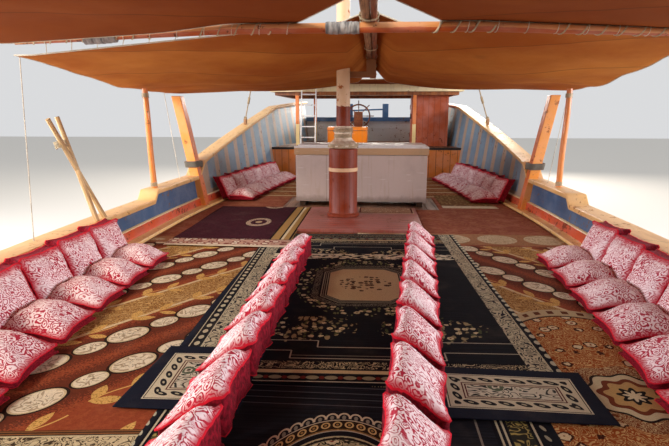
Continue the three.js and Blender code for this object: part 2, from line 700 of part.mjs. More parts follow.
// A canvas panel: a grid over x and y, at the height that a function gives, one canvas thick.
// Spread moves a column in or out at each place along the boat.
function canvas(xs, rows, height, spread = (x) => x) {
  const sections = rows.map(({ yAt }) => {
    const places = xs.map((x) => [spread(x, yAt(x)), yAt(x)]);
    const under = places.map(([x, y]) => [x, y, height(x, y)]);
    const over = under.map(([px, py, pz]) => [px, py, pz + CANVAS]).reverse();
    return [...under, ...over];
  });
  return loft(sections);
}

const AWNING_HALF = 3450;
const AWNING_FORE_Y = -8700;
const AWNING_FORE_HALF = 2400; // the fore awning narrows with the bow
const AWNING_NARROWS_FROM_Y = -4000;
const RIDGE_TOP = SPAR_TOP + 2 * RIDGE_R + 2 * FIT; // under the canvas that lies on the ridge pole

// How far a place lies down the slope of the tent, from 0 over the ridge poles to 1 at the given distance.
const TENT_X = 185; // middle of the two ridge poles
const TENT_FLAT = 80; // half the width that lies flat on them
const downSlope = (x, from, to) => clamp((Math.abs(x - TENT_X) - from) / (to - from), 0, 1);

// The fore awning lies over the ridge poles and along the spar, and sags a little forward of it.
function foreAwningZ(x, y) {
  const slack = 60 * Math.sin(Math.PI * clamp((y - AWNING_FORE_Y) / (SPAR_Y - AWNING_FORE_Y), 0, 1));
  const side = clamp((Math.abs(x) - SPAR_KNEE) / (AWNING_HALF - SPAR_KNEE), 0, 1);
  return sparTopZ(x) + FIT + (RIDGE_TOP - SPAR_TOP) * (1 - downSlope(x, TENT_FLAT, 690)) - slack * side;
}

// Forward of the waist its sides come in with the hull's.
function foreSpread(x, y) {
  const narrow = clamp((AWNING_NARROWS_FROM_Y - y) / (AWNING_NARROWS_FROM_Y - AWNING_FORE_Y), 0, 1);
  const half = lerp(AWNING_HALF, AWNING_FORE_HALF, narrow);
  const beyond = Math.max(0, Math.abs(x) - SPAR_KNEE) / (AWNING_HALF - SPAR_KNEE);
  return beyond > 0 ? Math.sign(x) * lerp(SPAR_KNEE, half, beyond) : x;
}

// Its after edge runs along the spar, and is cut away in a V over the ridge.
const foreAfterEdge = (x) => SPAR_Y + 10 - 900 * (1 - downSlope(x, 0, 690));

// The middle awning drops steeply beside the ridge poles, more so further aft.
function midAwningZ(x, y) {
  const far = smooth((y - SPAR_Y) / 3000);
  const droop = lerp(x < TENT_X ? 270 : 165, 320, far);
  const belly = 55 * far * Math.sin(Math.PI * downSlope(x, 300, 2600));
  const steep = lerp(85, 250, far) * downSlope(x, TENT_FLAT, 300);
  return RIDGE_TOP - steep - droop * downSlope(x, 300, AWNING_HALF) - belly;
}

// The after awning is a level strip that hangs under the ridge pole and lies on the roof's front board.
function aftAwningZ(x, y) {
  const resting = clamp((y - 6600) / 500, 0, 1);
  return lerp(ROOF.board - 20 - 45 * downSlope(x, 300, 2200), ROOF.board + FIT, resting);
}

function awnings() {
  const half = AWNING_HALF;
  const outer = [SPAR_KNEE, 2000, 2750, half];
  const inner = [TENT_X - 690, TENT_X - 300, TENT_X - TENT_FLAT, TENT_X + TENT_FLAT, TENT_X + 300, TENT_X + 690];
  const xs = [...outer.map((x) => -x).reverse(), ...inner, ...outer];
  const rows = [0, 0.08, 0.2, 0.36, 0.52, 0.68, 0.84, 1];
  const between = (fore, aft) => rows.map((t) => ({ yAt: (x) => lerp(fore(x), aft(x), t) }));
  add("awning_fore", "canvas", canvas(xs, between(() => AWNING_FORE_Y, foreAfterEdge), foreAwningZ, foreSpread));
  const farEdge = (x) => 4700 - 2500 * (x / half) ** 2;
  const mid = canvas(xs, between(() => SPAR_Y + 105, farEdge), midAwningZ);
  const [mx, my] = mastAt(3450);
  add("awning_mid", "canvas", mid.subtract(box(mx - 330, mx + 150, my - 150, my + 190, 3000, 4000)));
  const aftXs = [-2100, -1500, -900, -300, 150, 600, 1200, 1900];
  const aftRows = [5000, 5800, 6600, 7100, 7225].map((y) => ({ yAt: () => y }));
  add("awning_aft", "canvas", canvas(aftXs, aftRows, aftAwningZ));
}

// Light poles on the rails: one upright to a side, and a crossed pair to starboard.
function railPoles() {
  for (const [name, side] of SIDES) {
    const y = side === PORT ? 1150 : 600;
    const z = railZ(y) + CAP_THICK + FIT;
    add(`rail_pole_${name}`, "orange_paint", pole([[side * 3070, y, z, 44], [side * 3110, y, 3190, 40]]));
  }
  const foot = WAIST_RAIL + CAP_THICK + FIT;
  const first = pole([[-2960, -1290, foot, 30], [-3290, -1330, 2790, 26]], 8);
  const second = pole([[-2990, -1060, foot, 30], [-3260, -1550, 2770, 26]], 8);
  add("crossed_poles", "pole_wood", first.add(second));
}

// Deck furniture

function iceChest() {
  const c = CHEST;
  const floor = DECK + c.skid;
  const outer = box(c.x0, c.x1, c.y0, c.y1, floor, c.top);
  const hollow = box(c.x0 + c.wall, c.x1 - c.wall, c.y0 + c.wall, c.y1 - c.wall, floor + 80, c.top + 10);
  const feet = [c.x0 + 60, c.x1 - 160].map((x) => box(x, x + 100, c.y0 + 40, c.y1 - 40, DECK, floor + 5));
  const hinge = { y: c.y1 + 40, z: c.top + 2, r: 22 };
  const leaves = [c.x0 + 300, c.x1 - 420];
  const brackets = leaves.map((x) => box(x, x + 120, c.y1 - 10, hinge.y + 20, c.top - 80, hinge.z - hinge.r - FIT));
  add("ice_chest", "chest_white", join(outer.subtract(hollow), ...feet, ...brackets));
  const z = c.top + 6;
  const lip = box(c.x0 - 22, c.x1 + 22, c.y0 - 22, c.y1 + 22, z, z + c.lid);
  const raised = box(c.x0 + 40, c.x1 - 40, c.y0 + 40, c.y1 - 40, z + c.lid - 5, z + c.lid + 25);
  const knuckles = leaves.map((x) => bar([[x, hinge.y, hinge.z, hinge.r], [x + 120, hinge.y, hinge.z, hinge.r]], 24));
  add("ice_chest_lid", "chest_white", join(lip, raised, ...knuckles));
}

function mastPlatform() {
  const { x0, x1, y0, y1, thick } = PLATFORM;
  add("mast_platform", "brown_paint", box(x0, x1, y0, y1, DECK, DECK + thick));
}

function storageBox() {
  add("storage_box", "orange_box", box(-1060, 60, 7480, 8020, POOP, POOP + 540));
}

// The shelter on the poop: four posts and their beams, a flat roof, and a small cubicle with a door

function shelter() {
  const { half, y0, y1, under, thick, board } = ROOF;
  const [low, edge] = [under - 90, half - 110];
  const feet = [[-1850, 7330], [1300, 7330], [-1700, 10330], [1700, 10330]];
  const posts = feet.map(([x, y]) => box(x - 45, x + 45, y - 45, y + 45, POOP, under));
  const beams = [
    box(-edge, edge, 7285, 7375, low, under),
    box(-edge, edge, 10285, 10375, low, under),
    box(-edge, 90 - edge, 7285, 10375, low, under),
    box(edge - 90, edge, 7285, 10375, low, under),
  ];
  add("shelter_frame", "topside_wood", join(...posts, ...beams));
  // The front board stands up over the roof, and a chock behind it carries the ridge pole.
  const sheet = box(-half, half, y0, y1, under + FIT, under + thick);
  const front = box(-half, half, y0, y0 + 45, under + FIT, board);
  const chock = box(RIDGE_X - 50, RIDGE_X + 110, y0 + 50, y0 + 200, under + thick - 5, SPAR_TOP);
  add("shelter_roof", "cream_paint", join(sheet, front, chock));
}

function cubicle() {
  const c = CUBICLE;
  const { top } = c;
  const walls = box(c.x0, c.x1, c.y0, c.y1, POOP, top);
  const inside = box(c.x0 + c.wall, c.x1 - c.wall, c.y0 + c.wall, c.y1 - c.wall, POOP - 10, top - c.wall);
  const doorway = box(c.x0 - 10, c.x0 + c.wall + 10, c.y0 + 300, c.y0 + 920, POOP + 60, top - 110);
  const pin = { x: c.x0 - 44, y: c.y0 + 940, r: 9 };
  const hinges = [POOP + 250, POOP + 1050].map((z) => [z, z + 100]);
  const seats = hinges.map(([z]) => box(pin.x - 9, c.x0 + 5, pin.y - 5, pin.y + 20, z - 30, z - FIT));
  add("cubicle", "brown_paint", join(walls.subtract(inside).subtract(doorway), ...seats));
  const x = c.x0 - 40;
  const leaf = box(x, x + 30, c.y0 + 290, pin.y - 16, POOP + 50, top - 100);
  const handle = box(x - 40, x + 1, c.y0 + 340, c.y0 + 365, POOP + 750, POOP + 900);
  const knuckles = hinges.map(([z0, z1]) =>
    pole([[pin.x, pin.y, z0, pin.r], [pin.x, pin.y, z1, pin.r]]).add(box(pin.x - 2, x + 20, pin.y - 20, pin.y, z0, z1)),
  );
  add("cubicle_door", "brown_paint", join(leaf, handle, ...knuckles));
}

function ladder() {
  const [y0, z0, y1, z1] = [6560, DECK + CARPET + FIT, 7080, 3520];
  const at = (t, x) => [x, lerp(y0, y1, t), lerp(z0, z1, t)];
  const rails = [-1690, -1310].map((x) => beam(at(0, x), at(1, x), 16, 32));
  const rungs = Array.from({ length: 8 }, (_, i) => {
    const t = 0.1 + i * 0.118;
    return bar([[...at(t, -1695), 17], [...at(t, -1305), 17]], 8);
  });
  add("ladder", "aluminium", join(...rails, ...rungs));
}

// The helm: a stand with the wheel on its after side
const HELM = { x: -250, y: 9250, z: POOP + 830, rim: 340 };

function helm() {
  const { x, y, z } = HELM;
  const stand = box(x - 130, x + 130, y - 280, y - 60, POOP, z + 130);
  const boss = bar([[x, y - 62, z, 46], [x, y - 30 - FIT, z, 46]], 12);
  add("helm_stand", "topside_wood", stand.add(boss));
  const profile = Array.from({ length: 9 }, (_, i) => {
    const a = (i * 2 * Math.PI) / 8;
    return new THREE.Vector2(HELM.rim + 24 * Math.cos(a), 20 * Math.sin(a));
  });
  const rim = new THREE.LatheGeometry(profile, 32);
  const wheelSolid = toManifold(rim);
  const hub = toManifold(new THREE.CylinderGeometry(58, 58, 60, 16));
  const spokes = Array.from({ length: 4 }, (_, i) => {
    const geometry = new THREE.CylinderGeometry(14, 14, 2 * (HELM.rim + 130), 8);
    geometry.rotateX(Math.PI / 2);
    geometry.rotateY((i * Math.PI) / 4);
    return toManifold(geometry);
  });
  const rimSolid = wheelSolid.volume() > 0 ? wheelSolid : toManifold(flipped(rim));
  add("helm_wheel", "topside_wood", join(rimSolid, hub, ...spokes)).position.set(x, y, z);
}

// Bitts on the foredeck, with a crossbeam for the anchor warp
function bowBitts() {
  const y = -9700;
  const posts = [-330, 330].map((x) => box(x - 75, x + 75, y - 75, y + 75, DECK, 1960));
  add("bow_bitts", "blue_paint", join(box(-620, 620, y - 60, y + 60, 1640, 1760), ...posts));
}

// Carpets and cushions

function carpetOutline(x0, stations, side) {
  const edge = stations.map((y) => [side * (insideAt(y, DECK) - 215), y]);
  return [[side * x0, stations[0]], ...edge, [side * x0, stations.at(-1)]];
}

function carpets() {
  const waist = [-7900, -7200, -6200, -5200, -4000, -2600, -1200, 200, 1600, 2180];
  const aft = [3600, 4800, 6000, 7130];
  const low = DECK;
  const sheet = (outline) => plate(outline, "z", low, low + CARPET);
  for (const [name, side] of SIDES) {
    const strip = box(...(side > 0 ? [1420, 2600] : [-2600, -1420]), 2180, 3600, low, low + CARPET);
    const foreCut = box(...(side > 0 ? [PLATFORM.x1 + 1, 4000] : [-4000, PLATFORM.x0 - 1]), 200, 2190, low - 1, low + 90);
    const fore = sheet(carpetOutline(660, waist.filter((y) => y <= 290).concat(290), side));
    const beside = sheet(carpetOutline(660, [290, 1600, 2180], side)).intersect(foreCut);
    const after = sheet(carpetOutline(660, aft, side));
    const limit = box(...(side > 0 ? [10, 4000] : [-4000, -10]), -9000, 7100, low - 1, low + 90);
    const solid = join(fore, beside, strip, after).intersect(limit).subtract(kingpost(side, 20));
    add(`carpet_${name}`, "carpet_rust", solid);
  }
  add("carpet_runner", "carpet_dark", box(-658, 658, -7900, 290, low, low + CARPET));
  add("carpet_aft", "carpet_rust", box(-658, 658, 3600, 7100, low, low + CARPET));
}

// A row of cushions: a section in [inward from the bulwark, up], swelled at each middle and pulled in
// at each end. The row ends aft at the given place and runs forward.
function cushionRow(aftEnd, count, sectionAt) {
  const first = aftEnd - count * CUSHION;
  const sections = [];
  for (let i = 0; i < count; i++) {
    for (const t of [0, 0.12, 0.3, 0.5, 0.7, 0.88]) {
      const y = first + (i + t) * CUSHION;
      sections.push(sectionAt(y, 0.62 + 0.38 * Math.sin(Math.PI * clamp(t, 0.02, 0.98)) ** 0.5));
    }
  }
  sections.push(sectionAt(aftEnd, 0.62));
  return loft(sections);
}

const FLOOR = DECK + CARPET;

// Seat cushion, flat on the carpet. The inner numbers are the distance from the bulwark.
function seatSection(side, y, swell) {
  const inside = insideAt(y, DECK);
  const h = 140 * swell;
  const shape = [[820, 0.35], [770, 0], [330, 0], [285, 0.4], [340, 0.95], [520, 1], [750, 0.9]];
  return shape.map(([inward, up]) => [side * (inside - inward), y, FLOOR + FIT + up * h]);
}

// Back cushion, standing behind the seat and leaning on the bulwark.
function backSection(side, y, swell) {
  const inside = insideAt(y, DECK);
  const t = 130 * swell;
  const shape = [[222, 0], [272, 0], [205 + 60 * swell, 60], [120 + t, 260], [60 + t, 440], [62, 480], [50, 430],
    [56, 220], [196, 45]];
  return shape.map(([inward, up]) => [side * (inside - inward), y, FLOOR + FIT + up]);
}

// Wedge cushion beside the runner: thick on the runner's side, sloping down outboard.
function middleSection(side, y, swell) {
  const foot = side === PORT ? 470 + 0.09 * (y + 2700) : 470;
  const h = 250 * (0.55 + 0.45 * swell);
  const shape = [[0, 0], [-30, 0.25], [-20, 0.8], [35, 1], [130, 0.93], [280, 0.55], [365, 0.36], [380, 0.15], [345, 0]];
  return shape.map(([out, up]) => [side * (foot + out), y, FLOOR + FIT + up * h]);
}

function cushions() {
  const rows = { port: { waist: -920, middle: -200 }, starboard: { waist: -1200, middle: -1000 } };
  for (const [name, side] of SIDES) {
    const { waist, middle } = rows[name];
    add(`seat_row_${name}`, "cushion", cushionRow(waist, 9, (y, swell) => seatSection(side, y, swell)));
    add(`back_row_${name}`, "cushion", cushionRow(waist, 9, (y, swell) => backSection(side, y, swell)));
    add(`middle_row_${name}`, "cushion", cushionRow(middle, 9, (y, swell) => middleSection(side, y, swell)));
    const aft = 6600;
    const seats = cushionRow(aft, 6, (y, swell) => seatSection(side, y, swell));
    const backs = cushionRow(aft, 6, (y, swell) => backSection(side, y, swell));
    const bridge = (i) => {
      const y = aft - (i + 0.5) * CUSHION;
      const x = side * (insideAt(y, DECK) - 270);
      return box(x - 60, x + 60, y - 75, y + 75, FLOOR + 10, FLOOR + 50);
    };
    add(`aft_row_${name}`, "cushion", join(seats, backs, ...[0, 1, 2, 3, 4, 5].map(bridge)));
  }
}

hull();
backbone();
rudder();
propeller();
decks();
rails();
stern();
mast();
mastWrap();
yard();
shrouds();
awningFrame();
awnings();
railPoles();
iceChest();
mastPlatform();
storageBox();
shelter();
cubicle();
ladder();
helm();
bowBitts();
carpets();
cushions();

export default parts;
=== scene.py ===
import math

import bmesh
import bpy
import numpy as np
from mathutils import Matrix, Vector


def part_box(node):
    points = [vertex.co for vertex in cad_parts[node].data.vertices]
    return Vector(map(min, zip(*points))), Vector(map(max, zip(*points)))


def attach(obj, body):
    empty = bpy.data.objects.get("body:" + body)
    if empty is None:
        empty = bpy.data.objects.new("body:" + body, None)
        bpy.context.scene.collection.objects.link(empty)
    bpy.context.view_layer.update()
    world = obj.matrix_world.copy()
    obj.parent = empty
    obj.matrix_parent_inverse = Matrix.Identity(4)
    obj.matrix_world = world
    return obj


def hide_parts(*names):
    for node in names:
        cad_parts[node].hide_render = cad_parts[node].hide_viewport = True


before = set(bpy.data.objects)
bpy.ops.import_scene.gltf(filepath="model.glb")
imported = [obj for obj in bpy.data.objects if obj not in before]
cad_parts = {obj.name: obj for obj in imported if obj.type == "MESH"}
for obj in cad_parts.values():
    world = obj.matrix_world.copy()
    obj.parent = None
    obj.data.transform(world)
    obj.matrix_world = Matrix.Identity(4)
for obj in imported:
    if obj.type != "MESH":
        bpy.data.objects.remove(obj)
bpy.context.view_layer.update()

# Hull planking. Teak boards are bent round the frames and nailed edge to edge from the keel to the rail.
# They are oiled above the waterline and painted a dull red-brown below it. Metres; the bow is at -Y.
STEM_Y, MIDSHIP_Y, STERNPOST_Y = -11.4, 1.0, 9.9
FOREFOOT_Y, KEEL_FORE_Z, KEEL_AFT_Z, STEM_RISE = -7.2, -1.35, -1.5, 4.0
HALF_BEAM, KEEL_HALF, PLANK, STRAKES = 3.12, 0.1, 0.1, 24
HULL_TOP, DECK, POOP, POOP_Y = 1.09, 1.15, 1.95, 7.2
WAIST_RAIL, GANGWAY_RAIL, AFT_RAIL = 1.53, 1.66, 1.93
BOW_RISE_Y, GANGWAY_Y, STEP_Y, KNEE_Y, KNEE_END_Y = -5.2, 0.3, 0.42, 2.25, 2.65
SCREW_FRAME_Y, SCREW_FRAME_Z = 9.09, -0.26
RAKE = 0.3


def smooth(t):
    """Smoothstep: 3t squared less 2t cubed, with t held between 0 and 1."""
    t = np.clip(t, 0, 1)
    return t * t * (3 - 2 * t)


def lerp(a, b, t):
    """The value a share t of the way from a to b."""
    return a + (b - a) * t


def keel_z(station):
    """Height of the keel: a straight line from forefoot to sternpost, and a power curve up the stem."""
    straight = lerp(KEEL_FORE_Z, KEEL_AFT_Z, (station - FOREFOOT_Y) / (STERNPOST_Y - FOREFOOT_Y))
    rising = KEEL_FORE_Z + STEM_RISE * (np.maximum(FOREFOOT_Y - station, 0) / 4.3) ** 1.7
    return np.where(station >= FOREFOOT_Y, straight, rising)


def from_midship(station):
    """Shares of the way from the widest frame to the stem, and to the sternpost."""
    return (np.clip((MIDSHIP_Y - station) / (MIDSHIP_Y - STEM_Y), 0, 1),
            np.clip((station - MIDSHIP_Y) / (STERNPOST_Y - MIDSHIP_Y), 0, 1))


def half_beam(station):
    """Half the width at the rail: it closes to the stem as a cube, and narrows gently to the transom."""
    fore, aft = from_midship(station)
    return np.where(station < MIDSHIP_Y, HALF_BEAM * (1 - fore**3) ** 0.75, HALF_BEAM * (1 - 0.27 * aft**2.2))


def station_y(station, z):
    """True place of a point: the after stations lean aft by up to 0.3 for each metre above the keel."""
    lean = np.clip((station - 5.0) / (STERNPOST_Y - 5.0), 0, 1) ** 1.5
    return station + RAKE * lean * (z - KEEL_AFT_Z)


def rail_z(y):
    """Height of the rail: it rises to the bow, steps up beside the mast in an S, and climbs to the stern."""
    bow = WAIST_RAIL + 1.15 * (np.maximum(BOW_RISE_Y - y, 0) / 6.2) ** 1.7
    waist = lerp(WAIST_RAIL, GANGWAY_RAIL, np.clip((y - GANGWAY_Y) / 0.12, 0, 1))
    knee = lerp(GANGWAY_RAIL, AFT_RAIL, smooth((y - KNEE_Y) / 0.4))
    aft = AFT_RAIL + 0.198 * (np.minimum(y, 8.0) - KNEE_END_Y) + 0.06 * np.maximum(0, y - 8.0)
    return np.select([y < BOW_RISE_Y, y < KNEE_Y, y < KNEE_END_Y], [bow, waist, knee], aft)


def station_rail_z(station):
    """Rail height over a station, found by repeating, because the station leans."""
    z = rail_z(station)
    for _ in range(6):
        z = rail_z(station_y(station, z))
    return z


def hull_half(station, z):
    """Half width of the hull: a round section amidships that turns sharp towards both ends."""
    fore, aft = from_midship(station)
    full_at = np.where(station < BOW_RISE_Y, rail_z(station),
                       lerp(WAIST_RAIL, HULL_TOP + 0.25, smooth(aft * 2)))
    w = np.clip((z - keel_z(station)) / (full_at - keel_z(station)), 0, 1)
    bilge = (1 - (1 - w) ** 2.2) ** 0.6
    sharp = np.where(aft > 0, (np.maximum(0, w - 0.42) / 0.58) ** 0.9, w**1.1)
    fullness = np.where(aft > 0, 1 - aft**1.3, 1 - fore**1.5)
    return KEEL_HALF + np.maximum(half_beam(station) - KEEL_HALF, 0) * lerp(sharp, bilge, fullness)


def side_x(station, z):
    """Outside of the planking: the hull's own line, and straight from the deck's edge up to the rail."""
    low = np.maximum(HULL_TOP, keel_z(station) + 0.0005)
    high = station_rail_z(station)
    above = lerp(hull_half(station, low), hull_half(station, high), np.clip((z - low) / (high - low), 0, 1))
    return np.where(z > low, above, hull_half(station, z))


def inside_x(station, z):
    """Inside face of the bulwark, one plank in."""
    return np.maximum(side_x(station, z) - PLANK, 0.001)


def inside_at(y, z):
    """The inside face at a true place along the boat."""
    station = np.asarray(y, float)
    for _ in range(8):
        station = y - (station_y(station, z) - station)
    return inside_x(station, z)


def shade(code):
    """Linear red, green and blue of a colour that is written as six hexadecimal figures."""
    screen = np.array([int(code[i:i + 2], 16) for i in (0, 2, 4)]) / 255
    return tuple(np.where(screen < 0.04045, screen / 12.92, ((screen + 0.055) / 1.055) ** 2.4).tolist())


def plug(socket, value):
    """Links a socket or a Wire to an input, or sets the input to a number, a vector or a colour's code."""
    value = getattr(value, "socket", value)
    if isinstance(value, bpy.types.NodeSocket):
        socket.id_data.links.new(value, socket)
    else:
        socket.default_value = (*shade(value), 1) if isinstance(value, str) else value


def tree_of(*values):
    """The shader tree in which the first socket or Wire among some values stands."""
    sockets = [getattr(value, "socket", value) for value in values]
    return next(socket.id_data for socket in sockets if isinstance(socket, bpy.types.NodeSocket))


def put(kind, values, tree=None, **settings):
    """Adds a shader node with its settings, and its inputs by name or number, beside those it is fed from."""
    node = (tree or tree_of(*values.values())).nodes.new("ShaderNode" + kind)
    for label, value in settings.items():
        setattr(node, label, value)
    for label, value in values.items():
        plug(node.inputs[label], value)
    return node


class Wire:
    """A value that changes over a surface. Each step of arithmetic on it is one Math node."""

    def __init__(self, socket):
        self.socket = socket

    def step(self, operation, *others):
        """The result of a Math node on this value and the others."""
        return Wire(put("Math", dict(enumerate((self, *others))), operation=operation).outputs[0])

    def between(self, low, high):
        """1 where the value lies between two others, and 0 elsewhere."""
        return (self > low) * (self < high)

    def ease(self, low, high):
        """Smoothstep from 0 at low to 1 at high."""
        return Wire(put("MapRange", {0: self, 1: low, 2: high}, interpolation_type="SMOOTHSTEP").outputs[0])

    def __rsub__(self, other):
        return self.step("MULTIPLY_ADD", -1.0, other)

    def __abs__(self):
        return self.step("ABSOLUTE")


for method, operation in {
    "__add__": "ADD", "__radd__": "ADD", "__mul__": "MULTIPLY", "__rmul__": "MULTIPLY", "__sub__": "SUBTRACT",
    "__truediv__": "DIVIDE", "__pow__": "POWER", "__gt__": "GREATER_THAN", "__lt__": "LESS_THAN",
    "__mod__": "FLOORED_MODULO", "__or__": "MAXIMUM", "__and__": "MINIMUM",
}.items():
    setattr(Wire, method, lambda self, other, operation=operation: self.step(operation, other))


def mapped(place, scale=(1, 1, 1), turn=(0, 0, 0), shift=(0, 0, 0)):
    """A place, scaled, then turned about x, y and z, then shifted."""
    return put("Mapping", {0: place, 1: shift, 2: turn, 3: scale}).outputs[0]


def axes(place):
    """The x, y and z of a place as Wires."""
    return [Wire(socket) for socket in put("SeparateXYZ", {0: place}).outputs]


def uv(place):
    """Across and along a made piece, from its own UV map."""
    return axes(put("TexCoord", {}, tree_of(place)).outputs["UV"])[:2]


def point(x, y, z=0.0):
    """A place from three values."""
    return put("CombineXYZ", {0: x, 1: y, 2: z}).outputs[0]


def noise(place, scale, detail=4.0, rough=0.55, warp=0.0):
    """Soft fractal noise about 0.5."""
    values = {"Vector": place, "Scale": scale, "Detail": detail, "Roughness": rough, "Distortion": warp}
    return Wire(put("TexNoise", values).outputs[0])


def cells(place, scale, loose=1.0):
    """Distance to the nearest of many loose points."""
    return Wire(put("TexVoronoi", {"Vector": place, "Scale": scale, "Randomness": loose}).outputs["Distance"])


def mix(mask, low, high):
    """The low colour where the mask is 0, the high one where it is 1."""
    return put("Mix", {0: mask, 6: low, 7: high}, data_type="RGBA").outputs[2]


def centred(value, period):
    """The distance to the nearest of a row of places one period apart, with its sign."""
    return (value / period + 0.5) % 1 * period - period / 2


def chance(u, v=0.0):
    """A random share that stays the same over each whole step of u and of v."""
    cell = put("VectorMath", {0: point(u, v)}, operation="FLOOR").outputs[0]
    return Wire(put("TexWhiteNoise", {"Vector": cell}).outputs[0])


def group(name, inputs, effect):
    """A shader node group: inputs are {name: kind}, and the effect turns them into a Color and values."""
    tree = bpy.data.node_groups.new(name, "ShaderNodeTree")
    for label, kind in inputs.items():
        tree.interface.new_socket(label, in_out="INPUT", socket_type="NodeSocket" + kind)
    given = tree.nodes.new("NodeGroupInput").outputs
    found = effect(*[Wire(given[label]) for label in inputs])
    for label in found:
        kind = "Color" if label == "Color" else "Float"
        tree.interface.new_socket(label, in_out="OUTPUT", socket_type="NodeSocket" + kind)
    last = tree.nodes.new("NodeGroupOutput")
    for label, value in found.items():
        plug(last.inputs[label], value)
    return tree


def use(effect, place, *values):
    """Puts a node group to work at a place, its other inputs in their order. Its outputs come by name."""
    node = tree_of(place).nodes.new("ShaderNodeGroup")
    node.node_tree = effect
    for socket, value in zip(node.inputs, (place, *values)):
        plug(socket, value)
    return {socket.name: Wire(socket) for socket in node.outputs}


def finish(name, paint, relief=0.001, steady=None):
    """A material: paint(place) gives its colour, then the height felt as bump, then its roughness, as many as
    change over the surface. What is steady is set on the shader itself."""
    material = bpy.data.materials.new(name)
    material.use_nodes = True
    shader = material.node_tree.nodes["Principled BSDF"]
    for label, value in (steady or {}).items():
        plug(shader.inputs[label], value)
    place = put("TexCoord", {}, material.node_tree).outputs["Object"]
    colour, height, rough = [*paint(place), None, None][:3]
    plug(shader.inputs["Base Color"], colour)
    if height:
        bump = put("Bump", {"Height": height, "Distance": relief, "Strength": 1.0})
        plug(shader.inputs["Normal"], bump.outputs[0])
    if rough:
        plug(shader.inputs["Roughness"], rough)
    return material


def timber_effect(place, dark, light):
    """Wood grain along y: stretched noise for the figure, finer noise for the pores, and slow patches."""
    figure = noise(mapped(place, (9, 0.55, 9)), 1.0, 5, 0.6, 0.6)
    pores = noise(mapped(place, (70, 1.6, 70)), 1.0, 3, 0.6)
    patches = noise(place, 0.9, 2)
    tone = (figure * 0.55 + pores * 0.3 + patches * 0.35).ease(0.42, 0.8)
    return {
        "Color": mix(tone, dark, light),
        "Height": figure * 0.5 + pores * 0.5,
        "Rough": tone * -0.18 + 0.72,
    }


timber = group("timber_grain", {"Place": "Vector", "Dark": "Color", "Light": "Color"}, timber_effect)


def painted_effect(place, paint, under, wear):
    """Brushed gloss paint over wood: brush marks, chalky patches, and chips that show what is under it."""
    brush = noise(mapped(place, (40, 3, 40)), 1.0, 4)
    chalk = noise(place, 3.1, 5, 0.62).ease(0.35, 0.72)
    chips = (noise(place, 11.0, 7, 0.68) + noise(place, 1.1, 2) * 0.35 + wear * 0.12).ease(0.88, 0.91)
    tone = mix(chalk * 0.3, paint, mix(0.25, paint, "ffffff"))
    tone = mix(noise(place, 0.7, 6, 0.65).ease(0.48, 0.75) * 0.32, tone, "4a3524")
    return {
        "Color": mix(chips, tone, under),
        "Height": brush * 0.4 - chips * 1.2,
        "Rough": chips * 0.3 + chalk * 0.15 + 0.38,
    }


painted = group("painted_wood", {"Place": "Vector", "Paint": "Color", "Under": "Color", "Wear": "Float"},
                painted_effect)


def steps(*stretches):
    """Places along stretches, each of them (start, end, count), in order and none twice."""
    return np.unique(np.concatenate([np.linspace(*stretch) for stretch in stretches]))


def xyz(*parts):
    """Points from their coordinates, each one spread to the shape of the others."""
    return np.stack(np.broadcast_arrays(*parts), -1)


def fit_out(obj, body, slot, *nodes):
    """Hangs a piece on a body of the boat, and hides the plain nodes that it stands for. Its slot is not
    used.
    """
    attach(obj, body)
    if nodes:
        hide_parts(*nodes)
    return obj


def shown(name, mesh, material, angle):
    """An object of a mesh in one material, smooth but for edges sharper than an angle."""
    mesh.materials.clear()
    mesh.materials.append(material)
    mesh.polygons.foreach_set("use_smooth", np.ones(len(mesh.polygons), bool))
    if angle:
        mesh.set_sharp_from_angle(angle=math.radians(angle))
    obj = bpy.data.objects.new(name, mesh)
    bpy.context.scene.collection.objects.link(obj)
    return obj


